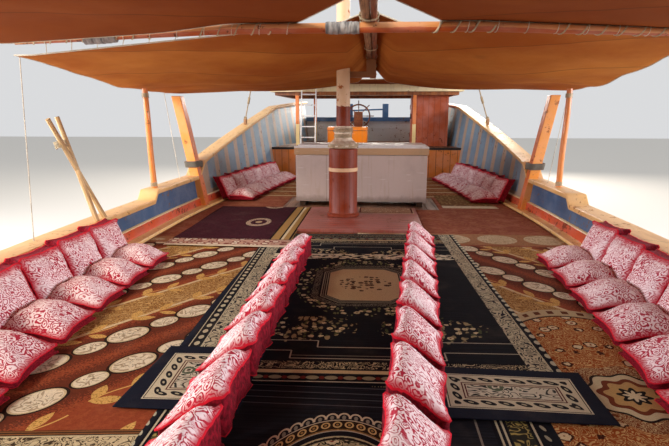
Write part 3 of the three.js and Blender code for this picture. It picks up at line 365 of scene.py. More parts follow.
def make(name, grids, material, slot, *nodes, body="boat", angle=38.0):
    """One mesh of several grids. A grid is (points, kind), its points rows by columns by xyz. A sheet is
    open, a tube closes across its columns and has its end rows filled, and a ring closes both ways. UVs run
    in metres across and along, or a third item gives the U of each column, with one more where it closes.
    A closed grid is turned so that its faces point outwards."""
    corners = []
    faces = []
    uvs = []
    start = 0
    for points, kind, *columns_at in grids:
        rows, columns = points.shape[:2]
        index = np.arange(rows * columns).reshape(rows, columns)
        placed = points
        if kind != "sheet":
            index = np.hstack([index, index[:, :1]])
            placed = np.concatenate([placed, placed[:, :1]], 1)
        if kind == "ring":
            index = np.vstack([index, index[:1]])
            placed = np.concatenate([placed, placed[:1]], 0)
        across = np.linalg.norm(np.diff(placed, axis=1), axis=2).mean(0)
        along = np.linalg.norm(np.diff(placed, axis=0), axis=2).mean(1)
        lines = columns_at[0] if columns_at else np.append(0, np.cumsum(across))
        u, v = np.meshgrid(lines, np.append(0, np.cumsum(along)))
        here, after = slice(0, -1), slice(1, None)
        order = [(here, here), (here, after), (after, after), (after, here)]
        quads = np.stack([index[o] for o in order], -1).reshape(-1, 4)
        flat = np.stack([np.stack([u[o], v[o]], -1) for o in order], -2).reshape(-1, 4, 2)
        flat_points = points.reshape(-1, 3)
        if kind != "sheet":
            a, b, c, d = (flat_points[quads[:, k]] for k in range(4))
            volume = np.einsum("ij,ij->", a, np.cross(b, c)) + np.einsum("ij,ij->", a, np.cross(c, d))
            caps = [index[0, :-1][::-1], index[-1, :-1]] if kind == "tube" else []
            for cap in caps:
                fan = flat_points[cap]
                volume += np.einsum("j,ij->", fan[0], np.cross(fan[1:-1], fan[2:]))
            if volume < 0:
                quads = quads[:, ::-1]
                flat = flat[:, ::-1]
                caps = [cap[::-1] for cap in caps]
            faces += [list(cap + start) for cap in caps]
            uvs += [np.zeros((len(cap), 2)) for cap in caps]
        faces += (quads + start).tolist()
        uvs.append(flat.reshape(-1, 2))
        corners.append(flat_points)
        start += len(flat_points)
    mesh = bpy.data.meshes.new(name)
    mesh.from_pydata(np.concatenate(corners), [], faces)
    layer = mesh.uv_layers.new(name="UVMap")
    layer.data.foreach_set("uv", np.concatenate(uvs).astype(np.float32).ravel())
    return fit_out(shown(name, mesh, material, angle), body, slot, *nodes)


def bottom_colour(place):
    """Dull red-brown antifouling, in patches of two tones."""
    return mix(noise(place, 5.0, 5), "5e2219", "8c3a2c")


def under_water(place, z):
    """1 below a wavy line a little above the water."""
    return z < noise(place, 1.3, 2) * 0.06 + 0.1


def planking_paint(place):
    """Outside, each strake and each length of it has its own tone, with nails in rows, dark seams and runs of
    oil, and bottom paint up to a wavy line. Inside, steel blue in the waist, and aft of the king posts pale
    blue bays between buff frames."""
    x, y, z = axes(place)
    strake, along = uv(place)
    wood = use(timber, place, "3a1c0e", "a2602c")
    length = along / 4.6 + chance(strake) * 7
    aged = mix(chance(strake, length) * 0.55, wood["Color"], "4a2210")
    aged = mix(noise(point(x * 3, y * 6, z * 0.7), 1.0, 4).ease(0.5, 0.75) * 0.35, aged, "2a130a")
    aged = mix(noise(point(x, y * 0.7, z * 2), 1.0, 3).ease(0.5, 0.8) * 0.3, aged, "b47a44")
    fouled = mix((z * -1.0 + noise(place, 2.2, 5)).ease(0.4, 1.3) * 0.5, bottom_colour(place), "4d4a36")
    under = under_water(place, z)
    butt = abs(length % 1 - 0.5) > 0.4985
    from_middle = abs(strake % 1 - 0.5)
    row = abs(from_middle - 0.34) * 0.19
    nails = ((centred(along, 0.42) ** 2 + row * row) < 0.00011) * (under < 0.5)
    outside = mix(((from_middle > 0.46) | butt) * 0.75, mix(under, aged, fouled), "120a06")
    outside = mix(nails * 0.8, outside, "1c0f09")
    blue = use(painted, place, "34587c", "7a5436", 0.72)
    frame_grey = use(painted, place, "b29c86", "6a4a30", 0.6)
    pale_blue = use(painted, place, "6f90a6", "7a5436", 0.6)
    bay = (abs(centred(y, 0.62)) < 0.2) * (z > DECK + 0.25) * (y > 2.7)
    inner = mix(bay, frame_grey["Color"], pale_blue["Color"])
    inner = mix((y < 2.28) * (y > -8.6), inner, blue["Color"])
    inside = strake > STRAKES + 0.5
    return (
        mix(inside, outside, inner),
        wood["Height"] - (nails + butt * 1.5) * (1 - inside),
        wood["Rough"] * 0.8 + under * 0.2,
    )


planking = finish("oiled_planking", planking_paint, 0.0015, {"Coat Weight": 0.15, "Coat Roughness": 0.35})
seams = (np.arange(STRAKES)[:, None] + np.array([0.0, 0.05, 0.5, 0.95])).ravel() / STRAKES
girth = np.append(seams, 1.0)
sunk = np.append(np.tile([0.009, 0.0, -0.002, 0.0], STRAKES), 0.0)
strake_lines = np.concatenate([[-0.5], girth * STRAKES, STRAKES + 1 + np.arange(6), [STRAKES + 8]])
stations = steps(
    (STEM_Y, FOREFOOT_Y, 40), (FOREFOOT_Y, GANGWAY_Y, 32), (GANGWAY_Y, STEP_Y, 3), (STEP_Y, KNEE_Y, 9),
    (KNEE_Y, KNEE_END_Y, 9), (KNEE_END_Y, STERNPOST_Y, 40), (SCREW_FRAME_Y, SCREW_FRAME_Y + 0.001, 2),
)
SIDES = (("port", 1), ("starboard", -1))
for name, side in SIDES:
    s = stations[:, None]
    rail = station_rail_z(s)
    foot = np.where(s > SCREW_FRAME_Y, SCREW_FRAME_Z, keel_z(s))
    z = lerp(np.minimum(keel_z(s), rail - 0.01), rail, girth)
    z = np.maximum(z, foot + 0.0004 * np.arange(len(girth)))
    within = lerp(rail, np.maximum(HULL_TOP - 0.02, foot + 0.001), np.linspace(0, 1, 5))
    under_deck = within[:, -1:]
    grid = np.concatenate([
        xyz(0, station_y(s, foot), foot),
        xyz(side * np.maximum(side_x(s, z) - sunk, 0.001), station_y(s, z), z),
        xyz(side * inside_x(s, within), station_y(s, within), within),
        xyz(0, station_y(s, under_deck), under_deck),
    ], 1)
    make("hull_planking_" + name, [(grid, "tube", strake_lines)], planking, "topside_wood", "hull",
         "bulwark_" + name)


def bottom_paint(place):
    """Antifouling, with weed in patches and a fine grain."""
    weed = noise(place, 2.2, 5).ease(0.45, 0.7) * 0.5
    return mix(weed, bottom_colour(place), "4d4a36"), noise(place, 60.0, 5)


def dressed(name, node, material, bevel, slot, body="boat", angle=30.0):
    """A copy of a node's mesh, its doubles merged and its flat faces joined, with its edges rounded over."""
    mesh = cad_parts[node].data.copy()
    work = bmesh.new()
    work.from_mesh(mesh)
    bmesh.ops.remove_doubles(work, verts=work.verts, dist=2e-5)
    bmesh.ops.dissolve_limit(work, angle_limit=math.radians(0.5), verts=work.verts, edges=work.edges)
    work.to_mesh(mesh)
    work.free()
    obj = shown(name, mesh, material, angle + 8)
    round_over = obj.modifiers.new("round_over", "BEVEL")
    round_over.width = bevel
    round_over.segments = 2
    round_over.limit_method = "ANGLE"
    round_over.angle_limit = math.radians(angle)
    round_over.harden_normals = True
    return fit_out(obj, body, slot, node)


antifouling = finish("bottom_coat", bottom_paint, 0.001, {"Roughness": 0.85})
dressed("screw_deadwood", "deadwood", antifouling, 0.012, "bottom_paint")

# Keel, stem and sternpost. One run of heavy timber, scarfed at the forefoot and bolted outside the planking.
# Three iron rings strapped to the sternpost carry the rudder.
RINGS_FROM_Y, RUDDER_AXIS_Y, YOKE_Z = STERNPOST_Y + 0.686, STERNPOST_Y + 0.77, 2.235
QUARTER_TURN = math.radians(90)


def iron_effect(place):
    """Old iron: red rust in patches over a dark grey skin, with pits."""
    return {"Color": mix(noise(place, 14.0, 5, 0.65).ease(0.42, 0.6), "2c2a2a", "6b3318"),
            "Height": noise(place, 160.0, 3)}


old_iron = group("old_iron", {"Place": "Vector"}, iron_effect)


def backbone_paint(place):
    """Dark oiled timber above the water, bottom paint below it, and iron rings beyond the timber."""
    y, z = axes(place)[1:]
    wood = use(timber, place, "2e170c", "7d4a24")
    iron = use(old_iron, place)
    rings = y - z * RAKE > RINGS_FROM_Y
    colour = mix(under_water(place, z), wood["Color"], bottom_colour(place))
    return mix(rings, colour, iron["Color"]), wood["Height"] + iron["Height"] * rings, rings * -0.15 + 0.7


backbone_wood = finish("stem_and_keel_timber", backbone_paint, 0.002)
dressed("stem_keel_sternpost", "backbone", backbone_wood, 0.012, "topside_wood")


# Rudder. Planks bolted edge to edge on a round stock, hung in the three rings, with a yoke across its head
# for the steering chains.
def rudder_paint(place):
    """Upright planks with dark joints, iron collars and bolts, and bottom paint below the waterline."""
    y, z = axes(place)[1:]
    plank = centred(y - z * RAKE - RUDDER_AXIS_Y, 0.21)
    bolt = centred(z, 0.34)
    wood = use(timber, mapped(place, turn=(QUARTER_TURN, 0, 0)), "2e170c", "85502a")
    joint = abs(plank) < 0.006
    bolts = plank * plank + bolt * bolt < 0.013**2
    colour = mix(joint, mix(under_water(place, z), wood["Color"], bottom_colour(place)), "1a0f0a")
    colour = mix(bolts | (z > YOKE_Z), colour, use(old_iron, place)["Color"])
    return colour, wood["Height"] - joint * 2.0 + bolts * 2.0


rudder_wood = finish("rudder_planks", rudder_paint, 0.002, {"Roughness": 0.7})
dressed("rudder_blade", "rudder", rudder_wood, 0.008, "topside_wood", "rudder")

# Screw. Cast in bronze, three blades on a hub, on a shaft that runs out through the deadwood.
SCREW_Y, SCREW_Z, SCREW_R, ROOT_R, SHAFT = 9.48, -0.76, 0.42, 0.045, 0.27


def around(count):
    """Angles evenly round a full turn, as one row."""
    return np.linspace(0, 2 * np.pi, count, endpoint=False)[None]


def blade(turn):
    """A screw blade: thin lens sections, the chord a half sine, and the pitch one over the radius."""
    r = np.linspace(ROOT_R, SCREW_R, 22)[:, None]
    a = around(24)
    share = (r - ROOT_R) / (SCREW_R - ROOT_R)
    chord = 0.05 + 0.13 * np.sin(np.pi * np.clip(share * 0.86 + 0.1, 0, 1)) ** 0.8 * (1 - share**6)
    thick = 0.018 * (1 - share) + 0.004
    s, n = chord * np.cos(a), thick * np.sin(a)
    pitch = np.arctan(0.45 / (2 * np.pi * r))
    swing = turn + (s * np.cos(pitch) - n * np.sin(pitch)) / r * 0.9
    along = s * np.sin(pitch) + n * np.cos(pitch)
    return xyz(r * np.sin(swing), SCREW_Y + along, SCREW_Z + r * np.cos(swing)), "tube"


def turned_y(profile, sides=32, x=0.0, z=0.0):
    """A shape turned about a line along the boat, from a list of (place along it, radius)."""
    y, r = np.array(profile).T[:, :, None]
    a = around(sides)
    return xyz(x + r * np.cos(a), y, z + r * np.sin(a)), "tube"


def bronze_paint(place):
    """Cast bronze with green and brown patches, rougher where it is dull."""
    dull = noise(place, 9.0, 5, 0.6).ease(0.4, 0.65)
    return mix(dull, "b58a48", "4f5a40"), noise(place, 120.0, 3), dull * 0.35 + 0.35


bronze = finish("cast_bronze", bronze_paint, 0.0006, {"Metallic": 0.85})
hub = [(-SHAFT + 0.0005, 0.034), (-0.1, 0.034), (-0.098, 0.052), (-0.09, 0.066), (0.0, 0.074), (0.06, 0.068),
       (0.085, 0.05), (0.094, 0.02), (0.095, 0.004)]
screw = [turned_y([(SCREW_Y + y, r) for y, r in hub], z=SCREW_Z),
         *(blade(k * 2 * math.pi / 3) for k in range(3))]
make("screw", screw, bronze, "bronze", "propeller", body="propeller")

# Decks. Planks of teak laid fore and aft on beams, their seams paid with dark pitch. The poop's front is
# boarded upright and painted orange.
PLANK_LENGTH, DECK_FORE_Y, DECK_AFT_Y = 3.4, -10.405, 9.81


def deck_paint(place):
    """Teak worn grey-brown; pitch in the seams; each plank its own tone, butted every few metres."""
    u, v = uv(place)
    wood = use(timber, place, "4a2a18", "a06a44")
    plank = u.step("FLOOR")
    stagger = plank * 0.37 % 1
    tone = chance(plank + 0.5, (v / PLANK_LENGTH + stagger).step("FLOOR") + 0.5)
    butt = abs(centred(v + stagger * PLANK_LENGTH, PLANK_LENGTH)) < 0.004
    colour = mix(tone * 0.5, wood["Color"], "5c3a26")
    colour = mix(noise(place, 1.7, 5, 0.6).ease(0.4, 0.75) * 0.35, colour, "9c8672")
    seam = abs(u % 1 - 0.5) > 0.468
    return mix(seam | butt, colour, "1d1713"), wood["Height"] - butt * 2.0, wood["Rough"]


deck_wood = finish("laid_teak", deck_paint, 0.0015)


def laid_deck(name, node, stations, z_top, thick, planks, inset, fore_y):
    """A deck: across it, planks with a groove at each seam; its edge follows the inside of the planking."""
    share = (np.arange(planks)[:, None] + np.array([0.0, 0.035, 0.5, 0.965])).ravel() / planks
    share = np.append(share, 1.0) * 2 - 1
    dip = np.append(np.tile([0.006, 0.0, 0.0, 0.0], planks), 0.006)
    half = (inside_x(stations, z_top) - inset)[:, None]
    y = np.maximum(station_y(stations, z_top)[:, None], fore_y)
    above, below = xyz(share * half, y, z_top - dip), xyz(share[[-1, 0]] * half, y, z_top - thick)
    grid = np.concatenate([above, below], 1)
    columns = np.append(np.arange(len(share)) / 4, [planks + 1.5, planks + 2.5, planks + 4])
    make(name, [(grid, "tube", columns)], deck_wood, "deck_wood", node)


main_stations = np.concatenate([np.linspace(DECK_FORE_Y, FOREFOOT_Y, 24), np.linspace(-7.0, DECK_AFT_Y, 60)])
laid_deck("main_deck_planks", "main_deck", main_stations, DECK, DECK - HULL_TOP, 34, 0.0005, -math.inf)
laid_deck("poop_deck_planks", "poop_deck", np.linspace(6.35, DECK_AFT_Y, 40), POOP, 0.06, 28, 0.001, POOP_Y)


def worn_boards(worn, joint, dark, depth):
    """A painted effect with dark joints sunk in it: its colour, height and roughness."""
    return mix(joint, worn["Color"], dark), worn["Height"] - joint * depth, worn["Rough"]


def coat(paint, under="6a4228", wear=0.5, ridges=1.0):
    """The paint of a plainly painted piece."""
    def paint_it(place):
        worn = use(painted, place, paint, under, wear)
        return worn["Color"], worn["Height"] * ridges, worn["Rough"]
    return paint_it


def poop_front_paint(place):
    """Upright tongued boards painted orange, with a dark line at each joint."""
    worn = use(painted, place, "d97a2c", "6a3a1c", 0.5)
    return worn_boards(worn, abs(centred(axes(place)[0], 0.19)) < 0.0045, "3a1c0c", 3.0)


dressed("poop_front_boards", "poop_front", finish("orange_boards", poop_front_paint, 0.0015), 0.004,
        "orange_paint")

# Rails. Cap rails, wales and waterways are long timbers bent to the sheer and spiked on. The caps and
# waterways are cream, the wales orange, and what was bright is scuffed through to the wood.
RAIL_STATIONS = steps((STEM_Y, -9.0, 30), (-9.0, GANGWAY_Y, 60), (GANGWAY_Y, STEP_Y, 5), (STEP_Y, KNEE_Y, 12),
                      (KNEE_Y, KNEE_END_Y, 14), (KNEE_END_Y, STERNPOST_Y, 60))
CAP_HALF, WALE_HIGH, BATTEN, LIP = 0.14, 0.15, DECK + 0.042, DECK + 0.166
WATERWAY_FORE_Y, WATERWAY_AFT_Y = -9.2, 6.0


def rounded(half_wide, low, high, edge, steps=4):
    """A flat section with rounded corners, as (across, up), in order round it."""
    turn = np.linspace(0, np.pi / 2, steps)
    out, top, foot = half_wide - edge, high - edge, low + edge
    corners = [(out, top), (-out, top), (-out, foot), (out, foot)]
    parts = [xyz(x + edge * np.cos(turn + k * np.pi / 2), z + edge * np.sin(turn + k * np.pi / 2))
             for k, (x, z) in enumerate(corners)]
    return np.concatenate(parts).T


def cap_paint(place):
    """Cream paint, rubbed to bare pale wood and dirt along the middle, with a scarf every few metres."""
    x, y, z = axes(place)
    worn = use(painted, place, "e4b26e", "a8703c", 0.7)
    scarf = abs(centred(y + abs(x) * 0.6, 3.7)) < 0.004
    scuff = noise(point(x * 9, y * 1.4, z * 9), 1.0, 5).ease(0.52, 0.7)
    colour = mix(scarf, mix(scuff * 0.5, worn["Color"], "c08a50"), "4a3524")
    return colour, worn["Height"] - scarf * 2.0, worn["Rough"]


def waterway_paint(place):
    """Cream covering board on the deck; the batten up the bulwark is orange-red, with a cream edge."""
    z = axes(place)[2]
    cream = use(painted, place, "ecbc70", "b06a34", 0.8)
    red = use(painted, place, "cc4c1c", "7a3014", 1.0)
    colour = mix(z > LIP, mix(z > BATTEN, cream["Color"], red["Color"]), "e8c890")
    return colour, cream["Height"], cream["Rough"]


cap_cream = finish("cap_rail_cream", cap_paint, 0.0015)
wale_orange = finish("wale_orange", coat("e07c2e", "5a3218", 0.65), 0.0015)
waterway_coat = finish("waterway_paint", waterway_paint, 0.0015)
waterway_section = np.array([
    [0.19, 0.0005], [0.19, 0.03], [0.182, 0.038], [0.07, 0.038], [0.05, 0.043], [0.045, 0.055],
    [0.045, 0.163], [0.038, 0.17], [0.026, 0.178], [0.0005, 0.18], [0.0005, 0.0005],
]).T
for name, side in SIDES:
    s = RAIL_STATIONS[:, None]
    rail = station_rail_z(s)
    out, up = rounded(CAP_HALF, 0.0006, 0.07, 0.016)
    middle = np.maximum(side_x(s, rail) - PLANK / 2, CAP_HALF + 0.001)
    cap = xyz(side * (middle + out), station_y(s, rail), rail + up)
    make("cap_" + name, [(cap, "tube")], cap_cream, "cream_paint", "cap_rail_" + name, angle=50)

    s = RAIL_STATIONS[RAIL_STATIONS >= DECK_FORE_Y][:, None]
    out, up = rounded(0.0422, 0.0, WALE_HIGH, 0.02)
    z = HULL_TOP + up
    wale = xyz(side * (side_x(s, z) + 0.0428 + out), station_y(s, z), z)
    make("wale_timber_" + name, [(wale, "tube")], wale_orange, "orange_paint", "wale_" + name, angle=50)

    s = RAIL_STATIONS[(RAIL_STATIONS >= WATERWAY_FORE_Y) & (RAIL_STATIONS <= WATERWAY_AFT_Y)][:, None]
    inward, up = waterway_section
    z = DECK + up
    board = xyz(side * (inside_x(s, z) - inward), station_y(s, z), z)
    make("waterway_board_" + name, [(board, "tube")], waterway_coat, "cream_paint", "waterway_" + name,
         angle=30)

# King posts. Two square timbers side by side at each step of the rail, leaning outboard, orange with a cream
# face, and lashed together with tarred rope.
POST_X, POST_Y, POST_FACE_Y, POST_LEAN, LASHED_AT = 2.912, 2.38, 2.208, 0.19, 1.93


def king_paint(place):
    """Orange paint; the fore face is cream, and the edges are rubbed to wood."""
    orange = use(painted, place, "d4661a", "8a4018", 0.7)
    cream = use(painted, place, "e8953c", "a8602a", 0.7)
    colour = mix(axes(place)[1] < POST_FACE_Y, orange["Color"], cream["Color"])
    return colour, orange["Height"], orange["Rough"]


def rope_effect(place, along, turn, rope):
    """Laid rope: three strands twist round it, with fibres and dirt, and painted shade in the grooves between
    the strands. It reads turns along and around.
    """
    strand = abs((along + turn) % 1 - 0.5) * 2
    fibres = noise(point(along * 6, turn * 30), 1.0, 3)
    # Painted shade: the grooves between the strands are darkened towards a quarter of the rope's colour.
    tone = mix(strand.ease(0.55, 0.98), rope, mix(0.75, rope, "000000"))
    tone = mix(fibres * 0.3, tone, "efe6d0")
    return {"Color": mix(noise(place, 8.0, 4).ease(0.4, 0.7) * 0.4, tone, "5a4a38"),
            "Height": 1 - strand + fibres * 0.25}


laid_rope = group("laid_rope", {"Place": "Vector", "Along": "Float", "Around": "Float", "Rope": "Color"},
                  rope_effect)


def rope_finish(name, colour, radius, relief, roughness=0.9):
    """Rope of one colour; a strand passes every two and a half diameters or so."""
    def paint(place):
        u, v = uv(place)
        laid = use(laid_rope, place, v / (radius * 2.2), u / (radius * 2.1), colour)
        return laid["Color"], laid["Height"]
    return finish(name, paint, relief, {"Roughness": roughness})


def tube(path, radius, sides=8):
    """A round section carried along a path of points, its frame kept from twisting by one fixed direction."""
    along = np.gradient(path, axis=0)
    along /= np.linalg.norm(along, axis=1, keepdims=True)
    steady = [0.0, 0.0, 1.0] if np.abs(along[:, 2]).mean() < 0.8 else [0.0, 1.0, 0.0]
    u = np.cross(steady, along)
    u /= np.maximum(np.linalg.norm(u, axis=1, keepdims=True), 1e-9)
    v = np.cross(along, u)
    a = around(sides)[..., None]
    radius = np.broadcast_to(radius, (len(path),))[:, None, None]
    return path[:, None] + radius * (u[:, None] * np.cos(a) + v[:, None] * np.sin(a)), "tube"


def coil(centre, axis, wide, deep, turns, pitch):
    """A lashing: a helix round an axis, its section an oval wide by deep."""
    axis = np.asarray(axis, float) / np.linalg.norm(axis)
    u = np.cross([0.0, 0.0, 1.0] if abs(axis[2]) < 0.8 else [0.0, 1.0, 0.0], axis)
    u /= np.linalg.norm(u)
    v = np.cross(axis, u)
    t = np.linspace(0, turns * 2 * np.pi, turns * 16)[:, None]
    swell = 1 + 0.03 * np.sin(t * 2.7)
    rise = (t / (2 * np.pi) - turns / 2) * pitch
    return np.asarray(centre) + u * wide * swell * np.cos(t) + v * deep * swell * np.sin(t) + axis * rise


def squared(a, power):
    """The reach at each angle of a rounded square: one over the power mean of its cosine and sine."""
    return 1 / (np.abs(np.cos(a)) ** power + np.abs(np.sin(a)) ** power) ** (1 / power)


king_coat = finish("king_post_paint", king_paint, 0.0015)
tarred = rope_finish("tarred_rope", "3c332b", 0.012, 0.003)
for name, side in SIDES:
    dressed("king_posts_" + name, "kingpost_" + name, king_coat, 0.012, "orange_paint")
    t = np.linspace(0, 1, 220)[:-1]
    turn = t * 5 * 2 * np.pi
    z = LASHED_AT + (t - 0.5) * 0.11
    x = side * (POST_X + POST_LEAN * (z - DECK)) + 0.118 * squared(turn, 6) * np.cos(turn)
    path = xyz(x, POST_Y + 0.19 * squared(turn, 6) * np.sin(turn), z)
    make("king_post_lashing_" + name, [tube(path, 0.0115)], tarred, "rope")

# Stern. The transom is planked across its raked frames. A blue taffrail is bolted over it, with two bitts
# that stand up through it and a round handrail between them.
def transom_paint(place):
    """Level planks with dark seams; pale blue-grey paint inside."""
    y, z = axes(place)[1:]
    wood = use(timber, mapped(place, turn=(0, 0, QUARTER_TURN)), "3a1c0e", "9a5c2c")
    grey = use(painted, place, "b9c2c8", "6a4a30", 0.6)
    seam = abs(centred(z, 0.168)) < 0.005
    inside = y < STERNPOST_Y + (z - KEEL_AFT_Z) * RAKE - 0.06
    colour = mix(inside, mix(seam, wood["Color"], "190e08"), grey["Color"])
    return colour, wood["Height"] - seam * 2.5, wood["Rough"]


dressed("transom_boards", "transom", finish("transom_planks", transom_paint, 0.002), 0.006, "topside_wood")
taffrail_blue = finish("taffrail_blue", coat("2c6294", "6a4a32", 0.7), 0.0015)
dressed("taffrail_and_bitts", "taffrail", taffrail_blue, 0.014, "blue_paint")

# Mast. A spar of one tree, cased at its foot in a turned drum of staves painted red-brown with one pale
# band. Above the wrap the spar itself is brown, then cream, and it is raked a little forward.
MAST_X, MAST_Y, MAST_RAKE, MAST_HEAD = -0.25, 1.4, 0.05, 9.6
CASING_R, CASING_LOW, CASING_TOP = 0.23, DECK + 0.0455, DECK + 1.14
BAND_LOW, BAND_TOP = DECK + 0.775, DECK + 0.835
YARD_Z, YARD_PEAK, YARD_OUT, YARD_FORE, YARD_AFT = 9.2, math.radians(30), 0.182, 5.0, 8.6
HOUNDS_Z = YARD_Z - 0.0605


def mast_at(z):
    """The mast's axis at a height: upright through the casing, then raked forward in a straight line."""
    return xyz(MAST_X, MAST_Y - MAST_RAKE * np.maximum(0, z - CASING_TOP), z)


def turned(radius, height, sides=48, lean=0.0):
    """A shape turned about the mast's axis, from its radii and heights; with lean, square to its rake."""
    a = around(sides)
    r = np.asarray(radius)[:, None]
    aft = r * np.sin(a) / math.hypot(1, lean)
    return mast_at(np.asarray(height))[:, None] + xyz(r * np.cos(a), aft, aft * lean)


def casing_paint(place):
    """Red-brown gloss on upright staves, darker where hands touch it, with lighter upright streaks painted on
    as highlights of the gloss, and a cream band round it.
    """
    x, y, z = axes(place)
    worn = use(painted, place, "80300c", "5c2008", 0.4)
    turn = (y - MAST_Y).step("ARCTAN2", x - MAST_X)
    stave = (abs(centred(turn, math.pi / 9)) < 0.012) * (z < CASING_TOP)
    # Painted highlights: lighter upright streaks round the drum stand in for light on the gloss.
    streak_highlights = noise(point(turn * 4, z * 0.8), 1.0, 5).ease(0.45, 0.75)
    colour = mix(streak_highlights * 0.35, mix(stave * 0.7, worn["Color"], "2c140a"), "a84c14")
    colour = mix(0.55, colour, "762602")
    cream = use(painted, place, "e6c29a", "b06a3a", 0.8)
    colour = mix(z > noise(place, 5.0, 3) * 0.12 + 2.89, colour, cream["Color"])
    return mix(z.between(BAND_LOW, BAND_TOP), colour, "ddb48a"), worn["Height"] - stave * 2.0, worn["Rough"]


def head_block():
    """The masthead: a square block with rounded corners, drawn in towards its top."""
    a = around(32)
    up = np.array([-0.03, -0.01, 0.02, 0.2, 0.235, 0.25, 0.2595])[:, None]
    size = np.array([0.7, 0.96, 1.0, 1.0, 0.9, 0.7, 0.05])[:, None] * squared(a, 8)
    x, y, z = mast_at(MAST_HEAD)
    return xyz(x + 0.094 * size * np.cos(a), y + 0.074 * size * np.sin(a), z + up)


mast_paint = finish("mast_red_brown", casing_paint, 0.0015, {"Specular IOR Level": 0.2})
drum = turned(
    [0.002, 0.252, 0.262, 0.262, 0.252, 0.236, CASING_R, CASING_R,
     CASING_R + 0.006, CASING_R + 0.006, CASING_R, CASING_R, CASING_R - 0.012, 0.002],
    [CASING_LOW, CASING_LOW, CASING_LOW + 0.01, CASING_LOW + 0.042, CASING_LOW + 0.05, CASING_LOW + 0.058,
     CASING_LOW + 0.07, BAND_LOW + 0.001, BAND_LOW + 0.007, BAND_TOP - 0.007, BAND_TOP - 0.001,
     CASING_TOP - 0.014, CASING_TOP, CASING_TOP],
)
spar_z = np.linspace(CASING_TOP - 0.03, MAST_HEAD, 70)
spar_r = np.interp(spar_z, [CASING_TOP, 3.2, 6.0, MAST_HEAD], [0.115, 0.106, 0.092, 0.074])
spar_r = spar_r * (1 + 0.012 * np.sin(spar_z * 3.1) + 0.006 * np.sin(spar_z * 11))
hounds_z = HOUNDS_Z + np.array([-0.05, -0.048, -0.036, -0.008, 0, 0])
hounds = turned([0.01, 0.09, 0.1, 0.1, 0.094, 0.01], hounds_z, 32, MAST_RAKE)
mast = [(part, "tube") for part in (drum, turned(spar_r, spar_z, 28), hounds, head_block())]
make("mast_and_casing", mast, mast_paint, "brown_paint", "mast")


# Mast wrap. Sacking and rope are wound round the mast where it leaves the casing, over a collar of rags.
def sacking_paint(place):
    """Coarse jute, brown-grey, its folds painted darker in their hollows as shade and paler on their crests
    as light.
    """
    x, y, z = axes(place)
    threads = (z * 900).step("SINE") * 0.5 + ((x + y) * 700).step("SINE") * 0.5
    folds = noise(point(x * 2, y * 2, z * 9), 2.0, 5).ease(0.35, 0.7)
    # Painted shade and light: the colour follows the folds' height, dark in the hollows and pale on the
    # crests.
    return mix(folds, "a5866a", "f0dec4"), threads * 0.4 + folds * 3


sacking = finish("sacking", sacking_paint, 0.004, {"Roughness": 0.95})
wrap_up = np.array([0.0006, 0.004, 0.03, 0.06, 0.085, 0.11, 0.135, 0.165,
                    0.19, 0.215, 0.24, 0.265, 0.3, 0.33, 0.345, 0.3495])
wrap_z = CASING_TOP + wrap_up[:, None]
wrap_r = np.array([0.16, 0.222, 0.234, 0.232, 0.21, 0.18, 0.152, 0.132,
                   0.13, 0.136, 0.142, 0.144, 0.14, 0.134, 0.128, 0.118])[:, None]
a = around(96)
rag = wrap_r * (1 + 0.03 * np.sin(9 * a + wrap_z * 30) + 0.02 * np.sin(17 * a - wrap_z * 55))
sack = mast_at(wrap_z[:, 0])[:, None] + xyz(rag * np.cos(a), rag * np.sin(a), 0)
make("mast_sacking", [(sack, "tube")], sacking, "rope", "mast_wrap", angle=60)
wrap_rope = rope_finish("manila_rope", "b3946a", 0.012, 0.003, 0.92)
bands = [tube(coil(mast_at(CASING_TOP + up), (0, -MAST_RAKE, 1), r, r, 3, 0.021), 0.0105)
         for up, r in ((0.045, 0.234), (0.2, 0.136), (0.285, 0.146))]
make("mast_rope_turns", bands, wrap_rope, "rope")


# Yard. A lateen yard of two spars fished together with seizings. A wooden collar, greased, holds it to the
# mast just above the hounds, and it swings round with the collar.
def pole_finish(name, pale, dark, bands=0.0):
    """A stripped pole: long grain, grey weather, knots, and a darker ring here and there."""
    def paint(place):
        u, v = uv(place)
        grain = noise(point(u * 60, v * 2.2), 1.0, 5, 0.6, 0.4)
        knots = cells(point(u * 4, v * 1.3), 1.0).ease(0.05, 0.16)
        weather = noise(point(u * 3, v * 0.9, 4.0), 1.0, 4).ease(0.4, 0.7)
        colour = mix(weather * 0.45, mix(grain.ease(0.3, 0.7), dark, pale), "9c8268")
        colour = mix((1 - knots) * 0.7, colour, "3f2617")
        if bands:
            colour = mix(noise(point(v * bands, 3.0), 1.0, 1).ease(0.56, 0.6) * 0.5, colour, "5e4530")
        return colour, grain + knots * 0.5, grain * -0.2 + 0.75
    return finish(name, paint, 0.002)


def yard_at(d):
    """The yard's axis at a distance from the mast, up and aft."""
    x, y, z = mast_at(YARD_Z)
    return xyz(x + YARD_OUT, y + d * math.cos(YARD_PEAK), z + d * math.sin(YARD_PEAK))


